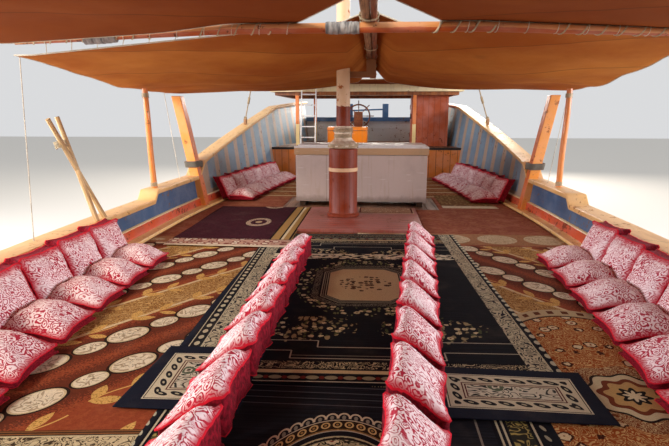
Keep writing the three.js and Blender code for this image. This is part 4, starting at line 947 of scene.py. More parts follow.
pole_brown = pole_finish("yard_pole", "c09060", "6e4526")
reach = np.linspace(-YARD_FORE, YARD_AFT, 110)
thick = np.interp(reach, [-YARD_FORE, -2.5, -1.2, 1.5, 4.2, YARD_AFT],
                  [0.042, 0.07, 0.086, 0.086, 0.068, 0.036])
thick = thick * (1 + 0.015 * np.sin(reach * 2.3) + 0.008 * np.sin(reach * 7.1))
seizings = []
yard_line = (0, math.cos(YARD_PEAK), math.sin(YARD_PEAK))
for d in (-4.2, -2.6, -1.1, 1.1, 2.4, 4.0, 6.0, 7.6):
    r = np.interp(d, reach, thick) + 0.005
    seizings.append(tube(coil(yard_at(d), yard_line, r, r, 6, 0.017), 0.008))
collar_z = YARD_Z + np.array([-0.06, -0.055, 0.055, 0.06, 0.06, 0.055, -0.055, -0.06])
collar = turned([0.106, 0.113, 0.113, 0.106, 0.09, 0.085, 0.085, 0.09], collar_z, 40, MAST_RAKE)
yard = [tube(yard_at(reach), thick, 20), (collar, "ring")]
make("yard_spar", yard, pole_brown, "pole_wood", "yard", body="yard")
make("yard_seizings", seizings, tarred, "rope", body="yard")

# Shrouds. One heavy rope to a side runs from the hounds down to a block that is lashed on the cap rail.
SHROUD_X, SHROUD_Y, RAIL_CLIMB = 2.87, 5.6, 0.198
seat = rail_z(SHROUD_Y) + 0.07
a = around(28)
for name, side in SIDES:
    top = mast_at(YARD_Z - 0.2) + [side * 0.096, 0.02, 0]
    foot = np.array([side * SHROUD_X, SHROUD_Y, seat + 0.115])
    grids = [
        tube(lerp(top, foot, np.linspace(0, 1, 60)[:, None]), 0.0135),
        tube(coil(lerp(top, foot, 0.93), foot - top, 0.02, 0.02, 9, 0.019), 0.008),
        tube(coil(foot + [0, 0, 0.02], foot - top, 0.03, 0.03, 5, 0.018), 0.008),
    ]
    along = np.array([-0.045, -0.038, 0.038, 0.045])[:, None]
    size = np.array([0.8, 1.0, 1.0, 0.8])[:, None] * squared(a, 7)
    up = RAIL_CLIMB * along + np.maximum(0.0756 + 0.0735 * size * np.sin(a), 0.0006)
    block = xyz(side * SHROUD_X + 0.035 * size * np.cos(a), SHROUD_Y + along, seat + up)
    make("shroud_rope_" + name, grids, wrap_rope, "rope", "shroud_" + name)
    make("shroud_block_" + name, [(block, "tube")], pole_brown, "pole_wood", angle=50)

# Awning frame. A grey ridge pole and a thin brown one lie along the boat on a cross spar, on a bearer at the
# mast, on a crutch forward and on the shelter aft. All are natural poles, stripped and lashed together.
SPAR_TOP, SPAR_Y, SPAR_KNEE, SPAR_END, SPAR_DROOP = 3.668, -1.8, 1.2, 3.35, 0.11
SPAR_R, SPAR_TIP_R = 0.048, 0.03
RIDGE_TOP, RIDGE_X, RIDGE_R, SIDE_POLE_R, SIDE_POLE_FORE_Y = 3.759, 0.15, 0.045, 0.032, -6.4
SIDE_POLE_X = RIDGE_X + RIDGE_R + SIDE_POLE_R + 0.0005


def spar_top(x):
    """Top of the cross spar: level between its knees, and drooping in a straight line to its ends."""
    return SPAR_TOP - SPAR_DROOP * np.clip((np.abs(x) - SPAR_KNEE) / (SPAR_END - SPAR_KNEE), 0, 1)


def spar_reach(x):
    """The spar's radius: even between its knees, and tapered to its ends."""
    return np.interp(np.abs(x), [SPAR_KNEE, SPAR_END], [SPAR_R, SPAR_TIP_R])


def round_spar(x, t, off):
    """Points round the spar, a little off its wood: t is the angle from its after side down and round."""
    out = spar_reach(x) + off
    return xyz(x, SPAR_Y + out * np.cos(t), spar_top(x) - spar_reach(x) - out * np.sin(t))


def spar_paint(place):
    """Orange-brown paint, flaking, paler over its upper half than below, above a wavy line near the middle.
    """
    x, _, z = axes(place)
    pale = use(painted, place, "d08a4e", "7a4422", 0.8)
    red = use(painted, place, "b4541c", "6e3a1e", 0.8)
    axis = SPAR_TOP - SPAR_R - ((abs(x) - SPAR_KNEE) | 0.0) * (SPAR_DROOP / (SPAR_END - SPAR_KNEE))
    under = z - axis + noise(place, 6.0, 4) * 0.03 < 0.008
    return mix(under, pale["Color"], red["Color"]), pale["Height"], pale["Rough"]


spar_coat = finish("cross_spar_paint", spar_paint, 0.002)
ridge_grey = pole_finish("ridge_pole_grey", "c09468", "6a4426", 2.3)
brown_pole = pole_finish("side_pole_brown", "a4582c", "5a2c14")
post_wood = pole_finish("stripped_post", "b87c46", "74421f")
x = np.linspace(-SPAR_END, SPAR_END, 90)
path = xyz(x, SPAR_Y + 0.006 * np.sin(x * 1.7), spar_top(x) - spar_reach(x))
spar = tube(path, spar_reach(x) * (1 + 0.02 * np.sin(x * 4)), 20)
make("cross_spar_pole", [spar], spar_coat, "pole_wood", "cross_spar")
y = np.linspace(-9.3, 7.65, 160)
ridge = tube(xyz(RIDGE_X, y, SPAR_TOP + RIDGE_R + 0.0005),
             RIDGE_R * (1 - 0.03 * (1 + np.sin(y * 2.9)) * 0.5), 20)
make("ridge_pole_main", [ridge], ridge_grey, "pole_wood", "ridge_pole")
y = np.linspace(SIDE_POLE_FORE_Y, 7.5, 120)
thin_pole = tube(xyz(SIDE_POLE_X, y, SPAR_TOP + SIDE_POLE_R + 0.0005), SIDE_POLE_R * 0.985, 16)
make("ridge_pole_brown", [thin_pole], brown_pole, "brown_paint", "ridge_side_pole")
dressed("mast_bearer", "ridge_bearer", post_wood, 0.008, "pole_wood")
dressed("fore_crutch_post", "fore_crutch", post_wood, 0.01, "pole_wood")

# Frame lashings. Light cord holds the poles to each other, with spiral turns along the cross spar where the
# awnings were laced, and two worn stretches bound with grey cloth.
frame_cord = rope_finish("frame_cord", "cdbb94", 0.006, 0.002, 0.92)
cords = []
for y in (-8.99, -5.6, -3.7, SPAR_Y - 0.13, SPAR_Y + 0.13, 0.35, 1.49, 3.1, 5.2, 7.28):
    both = y > SIDE_POLE_FORE_Y
    middle = (RIDGE_X - RIDGE_R + SIDE_POLE_X + SIDE_POLE_R) / 2 if both else RIDGE_X
    ring = coil((middle, y, SPAR_TOP + 0.041), (0, 1, 0), 0.09 if both else 0.052, 0.049, 5, 0.013)
    cords.append(tube(ring, 0.0055, 6))
for start, end in ((-3.2, -1.95), (-1.5, -0.75), (0.75, 1.35), (1.9, 3.2)):
    turns = (end - start) / 0.17
    t = np.linspace(0, turns * 2 * np.pi, int(turns * 14))
    x = lerp(start, end, t / t[-1])
    cords.append(tube(round_spar(x, t, 0.003), 0.008, 6))
make("frame_lashings", cords, frame_cord, "rope")


def bound_cloth(start, end, turns):
    """Rag bound round the spar: a tube whose radius steps at each turn and ripples round it."""
    x = np.linspace(start, end, 70)[:, None]
    a = around(40)
    share = (x - start) / (end - start)
    lap = (share * turns + a / (2 * np.pi)) % 1
    bulge = 0.007 * lap ** 0.5 * np.minimum(1, 8 * share * (1 - share) + 0.3)
    r = SPAR_R + 0.004 + bulge + 0.0015 * np.sin(5 * a + 30 * x)
    return xyz(x, SPAR_Y + r * np.cos(a), spar_top(x) - SPAR_R + r * np.sin(a)), "tube"


def rag_paint(place):
    """Faded grey-white cloth, folded, with painted shade darkening the hollows of its folds."""
    folds = noise(mapped(place, (20, 6, 6)), 1.0, 5).ease(0.3, 0.7)
    # Painted shade: the colour follows the folds' height, dark grey in the hollows and pale on the crests.
    return mix(folds, "5e5c5e", "b2aeaa"), folds


grey_rag = finish("grey_rag", rag_paint, 0.004, {"Roughness": 0.95})
make("spar_rag_binding", [bound_cloth(-0.23, 0.09, 6), bound_cloth(-2.62, -2.3, 5)], grey_rag, "rope",
     angle=60)

# Awnings. Each is one sheet of brown cotton canvas, sewn from strips a metre and a half wide, with a rope
# sewn into its hem. The fore and middle ones are laced along the cross spar and drop to poles at the sides.
AWNING_HALF, AWNING_FORE_HALF, TENT_X, ROOF_BOARD = 3.45, 2.4, 0.185, 3.61
AWNING_FORE_Y, AWNING_NARROWS_FROM_Y, AWNING_MID_Y, AWNING_AFT_Y = -8.7, -4.0, SPAR_Y + 0.105, 4.7
STRIP = 1.45


def down_slope(x, start, end):
    """How far a place lies down the slope of the tent: 0 over the ridge, 1 at the given distance from it."""
    return np.clip((np.abs(x - TENT_X) - start) / (end - start), 0, 1)


def past_knee(x):
    """How far a place lies from the spar's knee to the awning's edge."""
    return np.maximum(np.abs(x) - SPAR_KNEE, 0) / (AWNING_HALF - SPAR_KNEE)


def fore_z(x, y):
    """Height of the fore awning: the spar's own line, a rise to the ridge, a sag between the two ends, and a
    slack after corner to starboard that hangs in front of the spar."""
    along = np.clip((y - AWNING_FORE_Y) / (SPAR_Y - AWNING_FORE_Y), 0, 1)
    slack = 0.055 * smooth((-x - 0.8) / 1.2) * smooth((y - SPAR_Y + 0.8) / 0.7)
    slope = spar_top(x) + (RIDGE_TOP - SPAR_TOP) * (1 - down_slope(x, 0.08, 0.69))
    return slope - 0.06 * np.sin(np.pi * along) * np.minimum(past_knee(x), 1) - slack


def mid_z(x, y):
    """Height of the middle awning: steep beside the ridge, then a straight fall with a belly far aft."""
    far = smooth((y - SPAR_Y) / 3.0)
    fall = lerp(np.where(x < TENT_X, 0.27, 0.165), 0.32, far) * down_slope(x, 0.3, AWNING_HALF)
    belly = 0.055 * far * np.sin(np.pi * down_slope(x, 0.3, 2.6))
    return RIDGE_TOP - lerp(0.085, 0.25, far) * down_slope(x, 0.08, 0.3) - fall - belly


def aft_z(x, y):
    """Height of the after awning: level under the ridge, then up on to the roof's front board."""
    free = ROOF_BOARD - 0.02 - 0.045 * down_slope(x, 0.3, 2.2)
    return lerp(free, ROOF_BOARD, np.clip((y - 6.6) / 0.5, 0, 1))


def wrinkled(x, y, amount):
    """Soft folds: sine waves at three slants, the longest the tallest, and weaker over the ridge poles."""
    folds = np.sin(2.1 * x + 1.3 * y) + 0.6 * np.sin(4.7 * y - 2.2 * x + 1.7)
    short = 0.45 * np.sin(5.3 * x + 6.1 * y + 0.4) + 0.3 * np.sin(13 * x - 9 * y) * np.sin(3 * y + x)
    return amount * (folds + short) * down_slope(x, 0.05, 0.9)


def fore_spread(x, y):
    """Forward of the waist the outer part of the sheet comes in with the hull, in a straight line."""
    narrow = np.clip((AWNING_NARROWS_FROM_Y - y) / (AWNING_NARROWS_FROM_Y - AWNING_FORE_Y), 0, 1)
    out = np.sign(x) * lerp(SPAR_KNEE, lerp(AWNING_HALF, AWNING_FORE_HALF, narrow), past_knee(x))
    return np.where(past_knee(x) > 0, out, x)


def canvas_finish(name, base, lit):
    """Woven canvas: threads each way, faded strips, seams that slant aft from the ridge, and water stains."""
    def paint(place):
        x, y = axes(place)[:2]
        weave = (x * 900).step("SINE") * 0.5 + (y * 900).step("SINE") * 0.5
        strip = (y + abs(x - TENT_X) * 0.55) / STRIP
        seam = abs(strip % 1 - 0.5).ease(0.484, 0.494)
        stains = 1 - cells(mapped(place, (0.5, 0.5, 0.1)), 1.4).ease(0.03, 0.09)
        cloth = mix((noise(place, 0.8, 5, 0.6) * 0.8 + chance(strip) * 0.3).ease(0.35, 0.85), base, lit)
        cloth = mix(seam * 0.45, mix(stains * 0.18, cloth, "5a3a22"), "4a2c16")
        return cloth, weave * 0.3 + noise(place, 45, 3) + seam * 1.5
    return finish(name, paint, 0.0012, {"Roughness": 0.95, "Specular IOR Level": 0.12})


def thicken(obj, thickness, offset):
    """Gives a sheet its thickness, and finds its area."""
    cloth = obj.modifiers.new("thickness", "SOLIDIFY")
    cloth.thickness = thickness
    cloth.offset = offset
    return float(sum(face.area for face in obj.data.polygons))


def awning(name, node, xs, fore_y, aft_y, height, material, amount, spread=lambda x, y: x):
    """A sheet over a grid: y runs between two edges, x may be spread along the boat, and z is the height.
    It gives the rope in its hem."""
    t = np.linspace(0, 1, 90)[:, None]
    y = lerp(fore_y, aft_y, t)
    x = spread(xs, y)
    points = xyz(x, y, height(x, y) + wrinkled(x, y, amount) * np.sin(np.pi * t) ** 0.5 + 0.006)
    sheet = make(name, [(points, "sheet")], material, "canvas", node)
    area = thicken(sheet, 0.004, 0.0)
    return tube(np.concatenate([points[0], points[1:, -1], points[-1, -2::-1], points[-2:0:-1, 0]]), 0.008, 6)


canvas_dark = canvas_finish("canvas_dark", "8a4416", "a8602a")
# The middle awning's lighter, warmer copy of the same canvas is painted light: sun glowing through the cloth.
# The fore and after awnings use the darker copy.
canvas_painted_sunlit = canvas_finish("canvas_painted_sunlit", "a8591a", "d0873c")
xs = np.linspace(-AWNING_HALF, AWNING_HALF, 121)
fore_edge = SPAR_Y + 0.01 - 0.9 * (1 - down_slope(xs, 0, 0.69)) - 0.075 * smooth((-xs - 0.8) / 0.5)
mid_edge = AWNING_AFT_Y - 2.5 * (xs / AWNING_HALF) ** 2
hems = [
    awning("awning_fore_canvas", "awning_fore", xs, AWNING_FORE_Y, fore_edge, fore_z, canvas_dark, 0.012,
           fore_spread),
    awning("awning_mid_canvas", "awning_mid", xs, AWNING_MID_Y, mid_edge, mid_z, canvas_painted_sunlit, 0.014),
    awning("awning_aft_canvas", "awning_aft", np.linspace(-2.1, 1.9, 60), 5.0, 7.225, aft_z, canvas_dark,
           0.002),
]

# Awning ropes. A white rope is sewn into every hem, cords lace the middle awning to the cross spar, and its
# outer corners are drawn down to the rail.
hem_rope = rope_finish("hem_rope", "e4dac4", 0.007, 0.002)
make("awning_hem_ropes", hems, hem_rope, "rope")
laces = []
for x in np.concatenate([np.arange(-3.1, -0.4, 0.27), np.arange(0.75, 3.2, 0.27)]):
    t = np.linspace(0, 1.4 * np.pi, 16)
    turns = round_spar(x, t, 0.004) + xyz(0.05 + 0.01 * t, 0, 0)
    laces.append(tube(np.vstack([[x, AWNING_MID_Y, mid_z(x, AWNING_MID_Y) + 0.006], turns]), 0.004, 6))
for side in (-1, 1):
    for y, foot_y in ((SPAR_Y + 0.16, -2.3), (2.1, 1.75)):
        head = np.array([side * 3.43, y, mid_z(side * 3.43, y) - 0.004])
        foot = np.array([side * (half_beam(foot_y) - 0.02), foot_y, station_rail_z(foot_y) + 0.02])
        laces.append(tube(lerp(head, foot, np.linspace(0, 1, 12)[:, None]), 0.0055, 6))
make("awning_laces_and_guys", laces, hem_rope, "rope")

# Rail poles. An orange pole stands on the cap rail at each side under the edge of the awning, and a crossed
# pair of thin bare ones to starboard is lashed where they meet.
POLE_FOOT_X, POLE_HEAD_X = 3.07, 3.11
rail_orange = finish("rail_pole_orange", coat("e0822c", "8a5a34", 0.7), 0.0015, {"Coat Weight": 0.2})
for name, side in SIDES:
    low, high = np.array(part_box("rail_pole_" + name))
    y = (low[1] + high[1]) / 2
    z = np.linspace(low[2], high[2], 40)
    t = (z - low[2]) / (high[2] - low[2])
    path = xyz(side * lerp(POLE_FOOT_X, POLE_HEAD_X, t) + 0.004 * np.sin(z * 5), y + 0.003 * np.sin(z * 4), z)
    pole = tube(path, lerp(0.0435, 0.0395, t), 20)
    make("rail_pole_round_" + name, [pole], rail_orange, "orange_paint", "rail_pole_" + name)
    ties = []
    for level in (low[2] + 0.05, high[2] - 0.1):
        x = side * lerp(POLE_FOOT_X, POLE_HEAD_X, (level - low[2]) / (high[2] - low[2]))
        ties.append(tube(coil((x, y, level), (0.027 * side, 0, 1), 0.047, 0.047, 5, 0.0125), 0.0055, 6))
    make("rail_pole_ties_" + name, ties, frame_cord, "rope")
bare = pole_finish("bare_pole", "dcc18c", "9c6f3e")
crossed = []
for foot, head in (((-2.96, -1.29), (-3.29, -1.33, 2.79)), ((-2.99, -1.06), (-3.26, -1.55, 2.77))):
    t = np.linspace(0, 1, 40)
    path = lerp(np.array([*foot, WAIST_RAIL + 0.0706]), np.array(head), t[:, None])
    crossed.append(tube(path, lerp(0.0295, 0.0255, t), 14))
make("crossed_pole_pair", crossed, bare, "pole_wood", "crossed_poles")
tie = coil((-3.238, -1.4, 2.49), (0.25, 0.0, -0.97), 0.052, 0.078, 6, 0.013)
make("crossed_pole_tie", [tube(tie, 0.0055, 6)], frame_cord, "rope")

# Ice chest. A deep box of insulated panels, skinned in grey-white glass fibre, on two bearers, with a
# heavy lid edged in beige that lifts on two pin hinges behind.
CHEST_TOP, CHEST_BACK = DECK + 0.95, 3.4


def glassfibre_effect(place, tint):
    """Moulded glass fibre: faint ripple, yellow-brown drips, scuffs low down and dirt rubbed in patches."""
    x, y, z = axes(place)
    drip = noise(point(x * 16, y * 16, z * 1.1), 1.0, 5, 0.6).ease(0.52, 0.75)
    grime = noise(place, 2.4, 6, 0.65).ease(0.45, 0.75)
    scratch = noise(mapped(place, (3, 90, 40), (0.3, 0.2, 0.4)), 1.0, 2)
    colour = mix(grime * 0.5, tint, mix(0.4, tint, "8a7d70"))
    colour = mix(drip * 0.35, colour, "9a8260")
    colour = mix(scratch.ease(0.66, 0.74) * 0.4, colour, "efece6")
    return {"Color": colour, "Height": noise(place, 3.0, 2) * 2 + scratch * 0.3, "Rough": grime * 0.25 + 0.34}


glassfibre = group("glass_fibre", {"Place": "Vector", "Tint": "Color"}, glassfibre_effect)


def chest_paint(place):
    """Grey-white walls with one panel joint, dark at the foot, and hinge brackets of dull steel."""
    x, y, z = axes(place)
    shell = use(glassfibre, place, "b9a599")
    joint = (abs(x + 0.62) < 0.004) * (y < CHEST_BACK - 0.1)
    foot = 1 - (z - noise(place, 9.0, 4) * 0.14).ease(DECK + 0.06, DECK + 0.16)
    colour = mix(joint * 0.5 + foot * 0.45, shell["Color"], "4a3a2c")
    colour = mix(z < DECK + 0.1, colour, "3c2a1c")
    colour = mix(y > CHEST_BACK + 0.001, colour, use(old_iron, place)["Color"])
    return colour, shell["Height"] - joint * 3.0, shell["Rough"]


def lid_paint(place):
    """White top, a beige moulded edge, and steel knuckles."""
    y, z = axes(place)[1:]
    top = use(glassfibre, place, "cfc8c0")
    edge = use(glassfibre, place, "b08c66")
    colour = mix(z > CHEST_TOP + 0.125, edge["Color"], top["Color"])
    return mix(y > CHEST_BACK + 0.0225, colour, use(old_iron, place)["Color"]), top["Height"], top["Rough"]


dressed("chest_body", "ice_chest", finish("chest_shell", chest_paint, 0.002, {"Coat Weight": 0.2}), 0.014,
        "chest_white")
lid = finish("chest_lid_moulding", lid_paint, 0.002, {"Coat Weight": 0.2})
dressed("chest_lid_moulded", "ice_chest_lid", lid, 0.016, "chest_white", "ice_chest_lid")

# Mast platform. Boards painted dull red on battens over the mast step, nailed and worn by feet.
def platform_paint(place):
    """Fore-and-aft boards in worn red paint, with dark joints and nail heads."""
    x, y = axes(place)[:2]
    worn = use(painted, place, "9a4a3a", "8a5f48", 0.9)
    grain = noise(point(x * 3, y * 40), 1.0, 4)
    board = centred(y, 0.145)
    joint = abs(board) < 0.004
    nail = (board ** 2 + centred(x, 0.5) ** 2).between(0.0009, 0.00105)
    colour = mix(joint | nail, mix(grain.ease(0.5, 0.75) * 0.3, worn["Color"], "c2907c"), "2e1610")
    return colour, worn["Height"] + grain * 0.4 - joint * 3.0, worn["Rough"]


dressed("mast_platform_boards", "mast_platform", finish("platform_red", platform_paint, 0.0015), 0.006,
        "brown_paint")


# Storage box. Orange glass fibre, with a lid line, a rim and a rope handle at each end.
def box_paint(place):
    """Faded orange with a dark line under the lid."""
    shell = use(glassfibre, place, "f08418")
    return worn_boards(shell, axes(place)[2].between(POOP + 0.432, POOP + 0.444), "5a2c08", 4.0)


orange_shell = finish("orange_shell", box_paint, 0.002, {"Coat Weight": 0.3})
low, high = np.array(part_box("storage_box"))
middle, half = (low + high) / 2, (high - low) / 2
a = around(96)
levels = np.array([0.0005, 0.012, 0.43, 0.437, 0.444, 0.446, 0.52, 0.534, 0.5395, 0.5395])[:, None]
shares = np.array([0.955, 0.975, 0.98, 0.965, 0.965, 1.0, 0.998, 0.985, 0.96, 0.05])[:, None]
wide = (1 - (1 - shares) * 0.55) * squared(a, 14) * half[0]
deep = shares * squared(a, 14) * half[1]
box = xyz(middle[0] + wide * np.cos(a), middle[1] + deep * np.sin(a), low[2] + levels)
make("storage_box_shell", [(box, "tube")], orange_shell, "orange_box", "storage_box", angle=30)
handles = []
for x, out in ((low[0] + 0.012, -1), (high[0] - 0.012, 1)):
    t = np.linspace(0, np.pi, 24)
    path = xyz(x + out * 0.022 * np.sin(t), 7.75 + 0.1 * np.cos(t), POOP + 0.36 - 0.06 * np.sin(t))
    handles.append(tube(path, 0.008, 10))
make("storage_box_handles", handles, rope_finish("handle_rope", "d6cdb6", 0.009, 0.003), "rope")

# Shelter. Four square posts and their beams carry a flat roof of boards under painted canvas. A cream front
# board stands up along its fore edge, and the lit strip over the after awning is its face.
BEAM_Z, ROOF_Z, POST_CUT = 3.328, 3.45, POOP + 0.62


def shelter_paint(place):
    """Posts cream below and orange above a cut line; beams varnished."""
    z = axes(place)[2]
    wood = use(timber, mapped(place, turn=(QUARTER_TURN, 0, 0)), "5a2c14", "a5622e")
    orange = use(painted, place, "d9741e", "7a4422", 0.6)
    cream = use(painted, place, "e8cc8c", "8a5a34", 0.7)
    colour = mix(z > POST_CUT, cream["Color"], orange["Color"])
    return mix(z > BEAM_Z, colour, wood["Color"]), wood["Height"], orange["Rough"]


def roof_paint(place):
    """Cream paint over canvas and boards: the boards show through as ridges, with dirt along them."""
    x, _, z = axes(place)
    cream = use(painted, place, "e6d3a4", "a5865c", 0.7)
    board = abs(centred(x, 0.21))
    stain = noise(place, 1.1, 6, 0.65).ease(0.45, 0.75)
    colour = mix((board > 0.1) * (z > ROOF_Z) * 0.35 + stain * 0.25, cream["Color"], "8f7a58")
    return colour, cream["Height"] + board * 6.0, cream["Rough"]


dressed("shelter_posts", "shelter_frame", finish("shelter_timber", shelter_paint, 0.002), 0.006,
        "topside_wood")
dressed("shelter_roof_boards", "shelter_roof", finish("roof_cream", roof_paint, 0.002), 0.006, "cream_paint")

# Cubicle. A closet of thin boards on the poop, painted rust-brown, with a ledged door hung on two pins.
HINGE_X, HANDLE_Y, LEDGES_Z = 1.287, 8.876, 2.36


def cubicle_paint(place):
    """Upright boards in rust-brown gloss; a dark joint between each two, and rubbed edges."""
    x, y = axes(place)[:2]
    worn = use(painted, place, "b04a16", "7a3416", 0.5)
    joint = (abs(centred(y - 0.02, 0.15)) < 0.004) | (abs(centred(x, 0.158)) < 0.004)
    return mix(joint * 0.6, worn["Color"], "4a1c0a"), worn["Height"] - joint * 2.5, worn["Rough"]


def door_paint(place):
    """The same boards, lighter, with two ledges drawn across them, iron hinges and a rubbed handle."""
    x, y, z = axes(place)
    worn = use(painted, place, "b84e18", "8a4420", 0.6)
    ledge = abs(centred(z - LEDGES_Z, 0.62)) < 0.055
    joint = (abs(centred(y - 0.05, 0.11)) < 0.0035) * (1 - ledge)
    colour = mix(joint * 0.8, worn["Color"], "2a1208")
    colour = mix((x < HINGE_X) | (y > HANDLE_Y), colour, use(old_iron, place)["Color"])
    return colour, worn["Height"] + ledge * 2.0 - joint * 2.0, worn["Rough"]


dressed("cubicle_boards", "cubicle", finish("cubicle_rust", cubicle_paint, 0.002), 0.006, "brown_paint")
door = finish("cubicle_door_paint", door_paint, 0.002)
dressed("cubicle_door_leaf", "cubicle_door", door, 0.003, "brown_paint", "cubicle_door")

# Ladder. White-painted aluminium tube, leaned on the edge of the roof for the crew.
ladder_foot, ladder_head = np.array([-1.5, 6.56, DECK + 0.0105]), np.array([-1.5, 7.08, 3.52])
rail_half = 0.19
a = around(16)[0]
flat_oval = xyz(0.0155 * np.sign(np.cos(a)) * np.abs(np.cos(a)) ** 0.5,
                0.0315 * np.sign(np.sin(a)) * np.abs(np.sin(a)) ** 0.5, 0)
middle = lerp(ladder_foot, ladder_head, np.linspace(0, 1, 24)[:, None])
ladder = [(middle[:, None] + [out, 0, 0] + flat_oval, "tube") for out in (-rail_half, rail_half)]
reach = rail_half - 0.01
for i in range(8):
    rung = lerp(ladder_foot, ladder_head, 0.1 + i * 0.118) + xyz(np.linspace(-reach, reach, 12), 0, 0)
    ladder.append(tube(rung, np.where(np.arange(12) % 11 == 0, 0.017, 0.015), 14))
white = finish("ladder_white", coat("e8e6e2", "9fa3a6", 0.7, 0.5), 0.001)
make("ladder_white_tube", ladder, white, "aluminium", "ladder")

# Helm. A varnished stand with a bronze boss carries the wheel, which is turned and jointed from teak, its
# eight handles through a ringed rim, with a bronze plate over the hub.
HELM_X, HELM_Y, HELM_Z, RIM = -0.25, 9.25, POOP + 0.83, 0.34


def varnish_paint(place):
    """Red-brown varnished teak, bright where it is handled."""
    wood = use(timber, place, "4a1f0d", "a65a26")
    return wood["Color"], wood["Height"] * 0.5, wood["Rough"] * 0.5


def wheel_ring(radius, wide, deep):
    """A ring about the hub: a rounded rectangle of width and depth, turned about the line of the shaft."""
    a, b = around(96).T, around(24)
    r = radius + wide / 2 * squared(b, 4) * np.cos(b)
    y = HELM_Y + deep / 2 * squared(b, 4) * np.sin(b)
    return xyz(HELM_X + r * np.sin(a), y, HELM_Z + r * np.cos(a)), "ring"


def spoke(turn):
    """A turned spoke and its handle: the radius swells and narrows in beads from the hub to the grip."""
    reach, radius = np.array([
        [0.03, 0.012], [0.06, 0.0135], [0.09, 0.018], [0.13, 0.012], [0.18, 0.0105], [0.23, 0.012],
        [0.27, 0.018], [0.3, 0.013], [0.38, 0.013], [0.385, 0.0165], [0.4, 0.0165], [0.41, 0.0105],
        [0.425, 0.014], [0.44, 0.016], [0.455, 0.0145], [0.465, 0.01], [0.4695, 0.002],
    ]).T
    return tube(xyz(HELM_X + reach * math.sin(turn), HELM_Y, HELM_Z + reach * math.cos(turn)), radius, 14)


def hub_turning(profile, sides):
    """A shape turned about the wheel's shaft, from a list of (place along it, radius)."""
    return turned_y([(HELM_Y + y, r) for y, r in profile], sides, HELM_X, HELM_Z)


varnished = finish("varnished_teak", varnish_paint, 0.001, {"Coat Weight": 0.6, "Coat Roughness": 0.12})
dressed("helm_pedestal", "helm_stand", varnished, 0.01, "topside_wood")
hub = [(-0.03, 0.004), (-0.03, 0.05), (-0.024, 0.057), (0.022, 0.057), (0.0285, 0.05), (0.0285, 0.004)]
wheel = [wheel_ring(RIM, 0.046, 0.036), wheel_ring(RIM, 0.012, 0.0395),
         *(spoke(k * math.pi / 4) for k in range(8)),
         hub_turning(hub, 40)]
make("helm_wheel_turned", wheel, varnished, "topside_wood", "helm_wheel", body="helm_wheel")
plate = hub_turning([(0.0286, 0.036), (0.0292, 0.038), (0.0298, 0.03), (0.03, 0.003)], 32)
make("helm_wheel_plate", [plate], bronze, "bronze", body="helm_wheel")

# Bow bitts. Two blue posts and a cross timber on the foredeck, for the anchor warp, which is turned on them
# in figures of eight.
bitt_blue = finish("bitt_blue", coat("2c6294", "6a4a32", 0.8), 0.0015)
dressed("bow_bitt_posts", "bow_bitts", bitt_blue, 0.018, "blue_paint")
t = np.linspace(0, 5 * 2 * np.pi, 420)
warp = tube(xyz(0.415 * np.sin(t), -9.7 - 0.1 * np.sin(2 * t), 1.30 + 0.028 * t / np.pi), 0.0135)
make("bitt_warp_turns", [warp], rope_finish("anchor_warp", "c9b489", 0.016, 0.004, 0.92), "rope")

# Carpets. Machine-woven wool and acrylic rugs are laid over the whole deck, and overlap one another. Two dark
# medallion rugs lie along the runner, small bordered mats beside them, and rust-red ones at the sides.
RUG_PILE, CARPET_PILE, MAST_END_Y, AFT_CARPET_Y, CARPET_END_Y = 0.006, 0.008, 2.18, 3.6, 7.1


def layered(ground, *layers):
    """Paints the colour of each (mask, colour) over the ones before it."""
    for mask, colour in layers:
        ground = mix(mask, ground, colour)
    return ground


def past(value, colours, on=1.0):
    """Layers of {limit: colour}, each where the value is over its limit, within a mask."""
    return [((value > limit) * on, colour) for limit, colour in colours.items()]


def within(value, colours, on=1.0):
    """Layers of {limit: colour}, each where the value is under its limit, within a mask."""
    return [((value < limit) * on, colour) for limit, colour in colours.items()]


def line(value, at, half=0.005):
    """1 on a line where the value is near a number."""
    return abs(value - at) < half


def on_rug(place, centre, turn=0.0):
    """Across and along a rug that is centred at a place and turned by degrees."""
    a = math.radians(turn)
    x, y = centre
    shift = (-y * math.sin(a) - x * math.cos(a), x * math.sin(a) - y * math.cos(a), 0)
    return axes(mapped(place, turn=(0, 0, -a), shift=shift))[:2]


def oval(x, y, half_x, half_y):
    """1 on an oval's edge, less within it: the root of the two squared shares."""
    return ((x / half_x) ** 2 + (y / half_y) ** 2).step("SQRT")


def leaf(x, y, at, turn, length, width):
    """A pointed leaf from a place: its half width is a parabola along its length."""
    c, s = math.cos(math.radians(turn)), math.sin(math.radians(turn))
    p = (x - at[0]) * (c / length) + (y - at[1]) * (s / length)
    q = (x - at[0]) * -s + (y - at[1]) * c
    return abs(q) < (1 - p) * p * (4 * width)


def scrolls(x, y, size, lines=9.0, seed=0.0):
    """Curling lines: the level lines of slow, warped noise."""
    level = noise(point(x / size, y / size, seed), 1.0, 1.5, 0.4, 1.1)
    return 1 - abs(level * lines % 1 - 0.5).ease(0.1, 0.24)


def flowers(x, y, size, seed=0.0):
    """Round flowers in loose rows: the distance to each one's middle, with a lobed edge."""
    place = point(x / size, y / size, seed)
    return cells(place, 1.0, 0.55) + noise(place, 5.0, 1.0) * 0.22 - 0.11


def woven(colour, x, y):
    """Yarn: each knot a little lighter or darker than the next, worn paler in patches, with ribs across."""
    knots = chance(x * 180, y * 180)
    dusty = mix(noise(point(x, y), 2.2, 5, 0.6).ease(0.5, 0.8) * 0.07, colour, "b9a58c")
    relief = knots * 0.8 + (y * 620).step("SINE") * 0.4 + noise(point(x, y), 9.0, 3) * 2.0
    return mix(knots * 0.34, dusty, mix(0.5, dusty, "000000")), relief


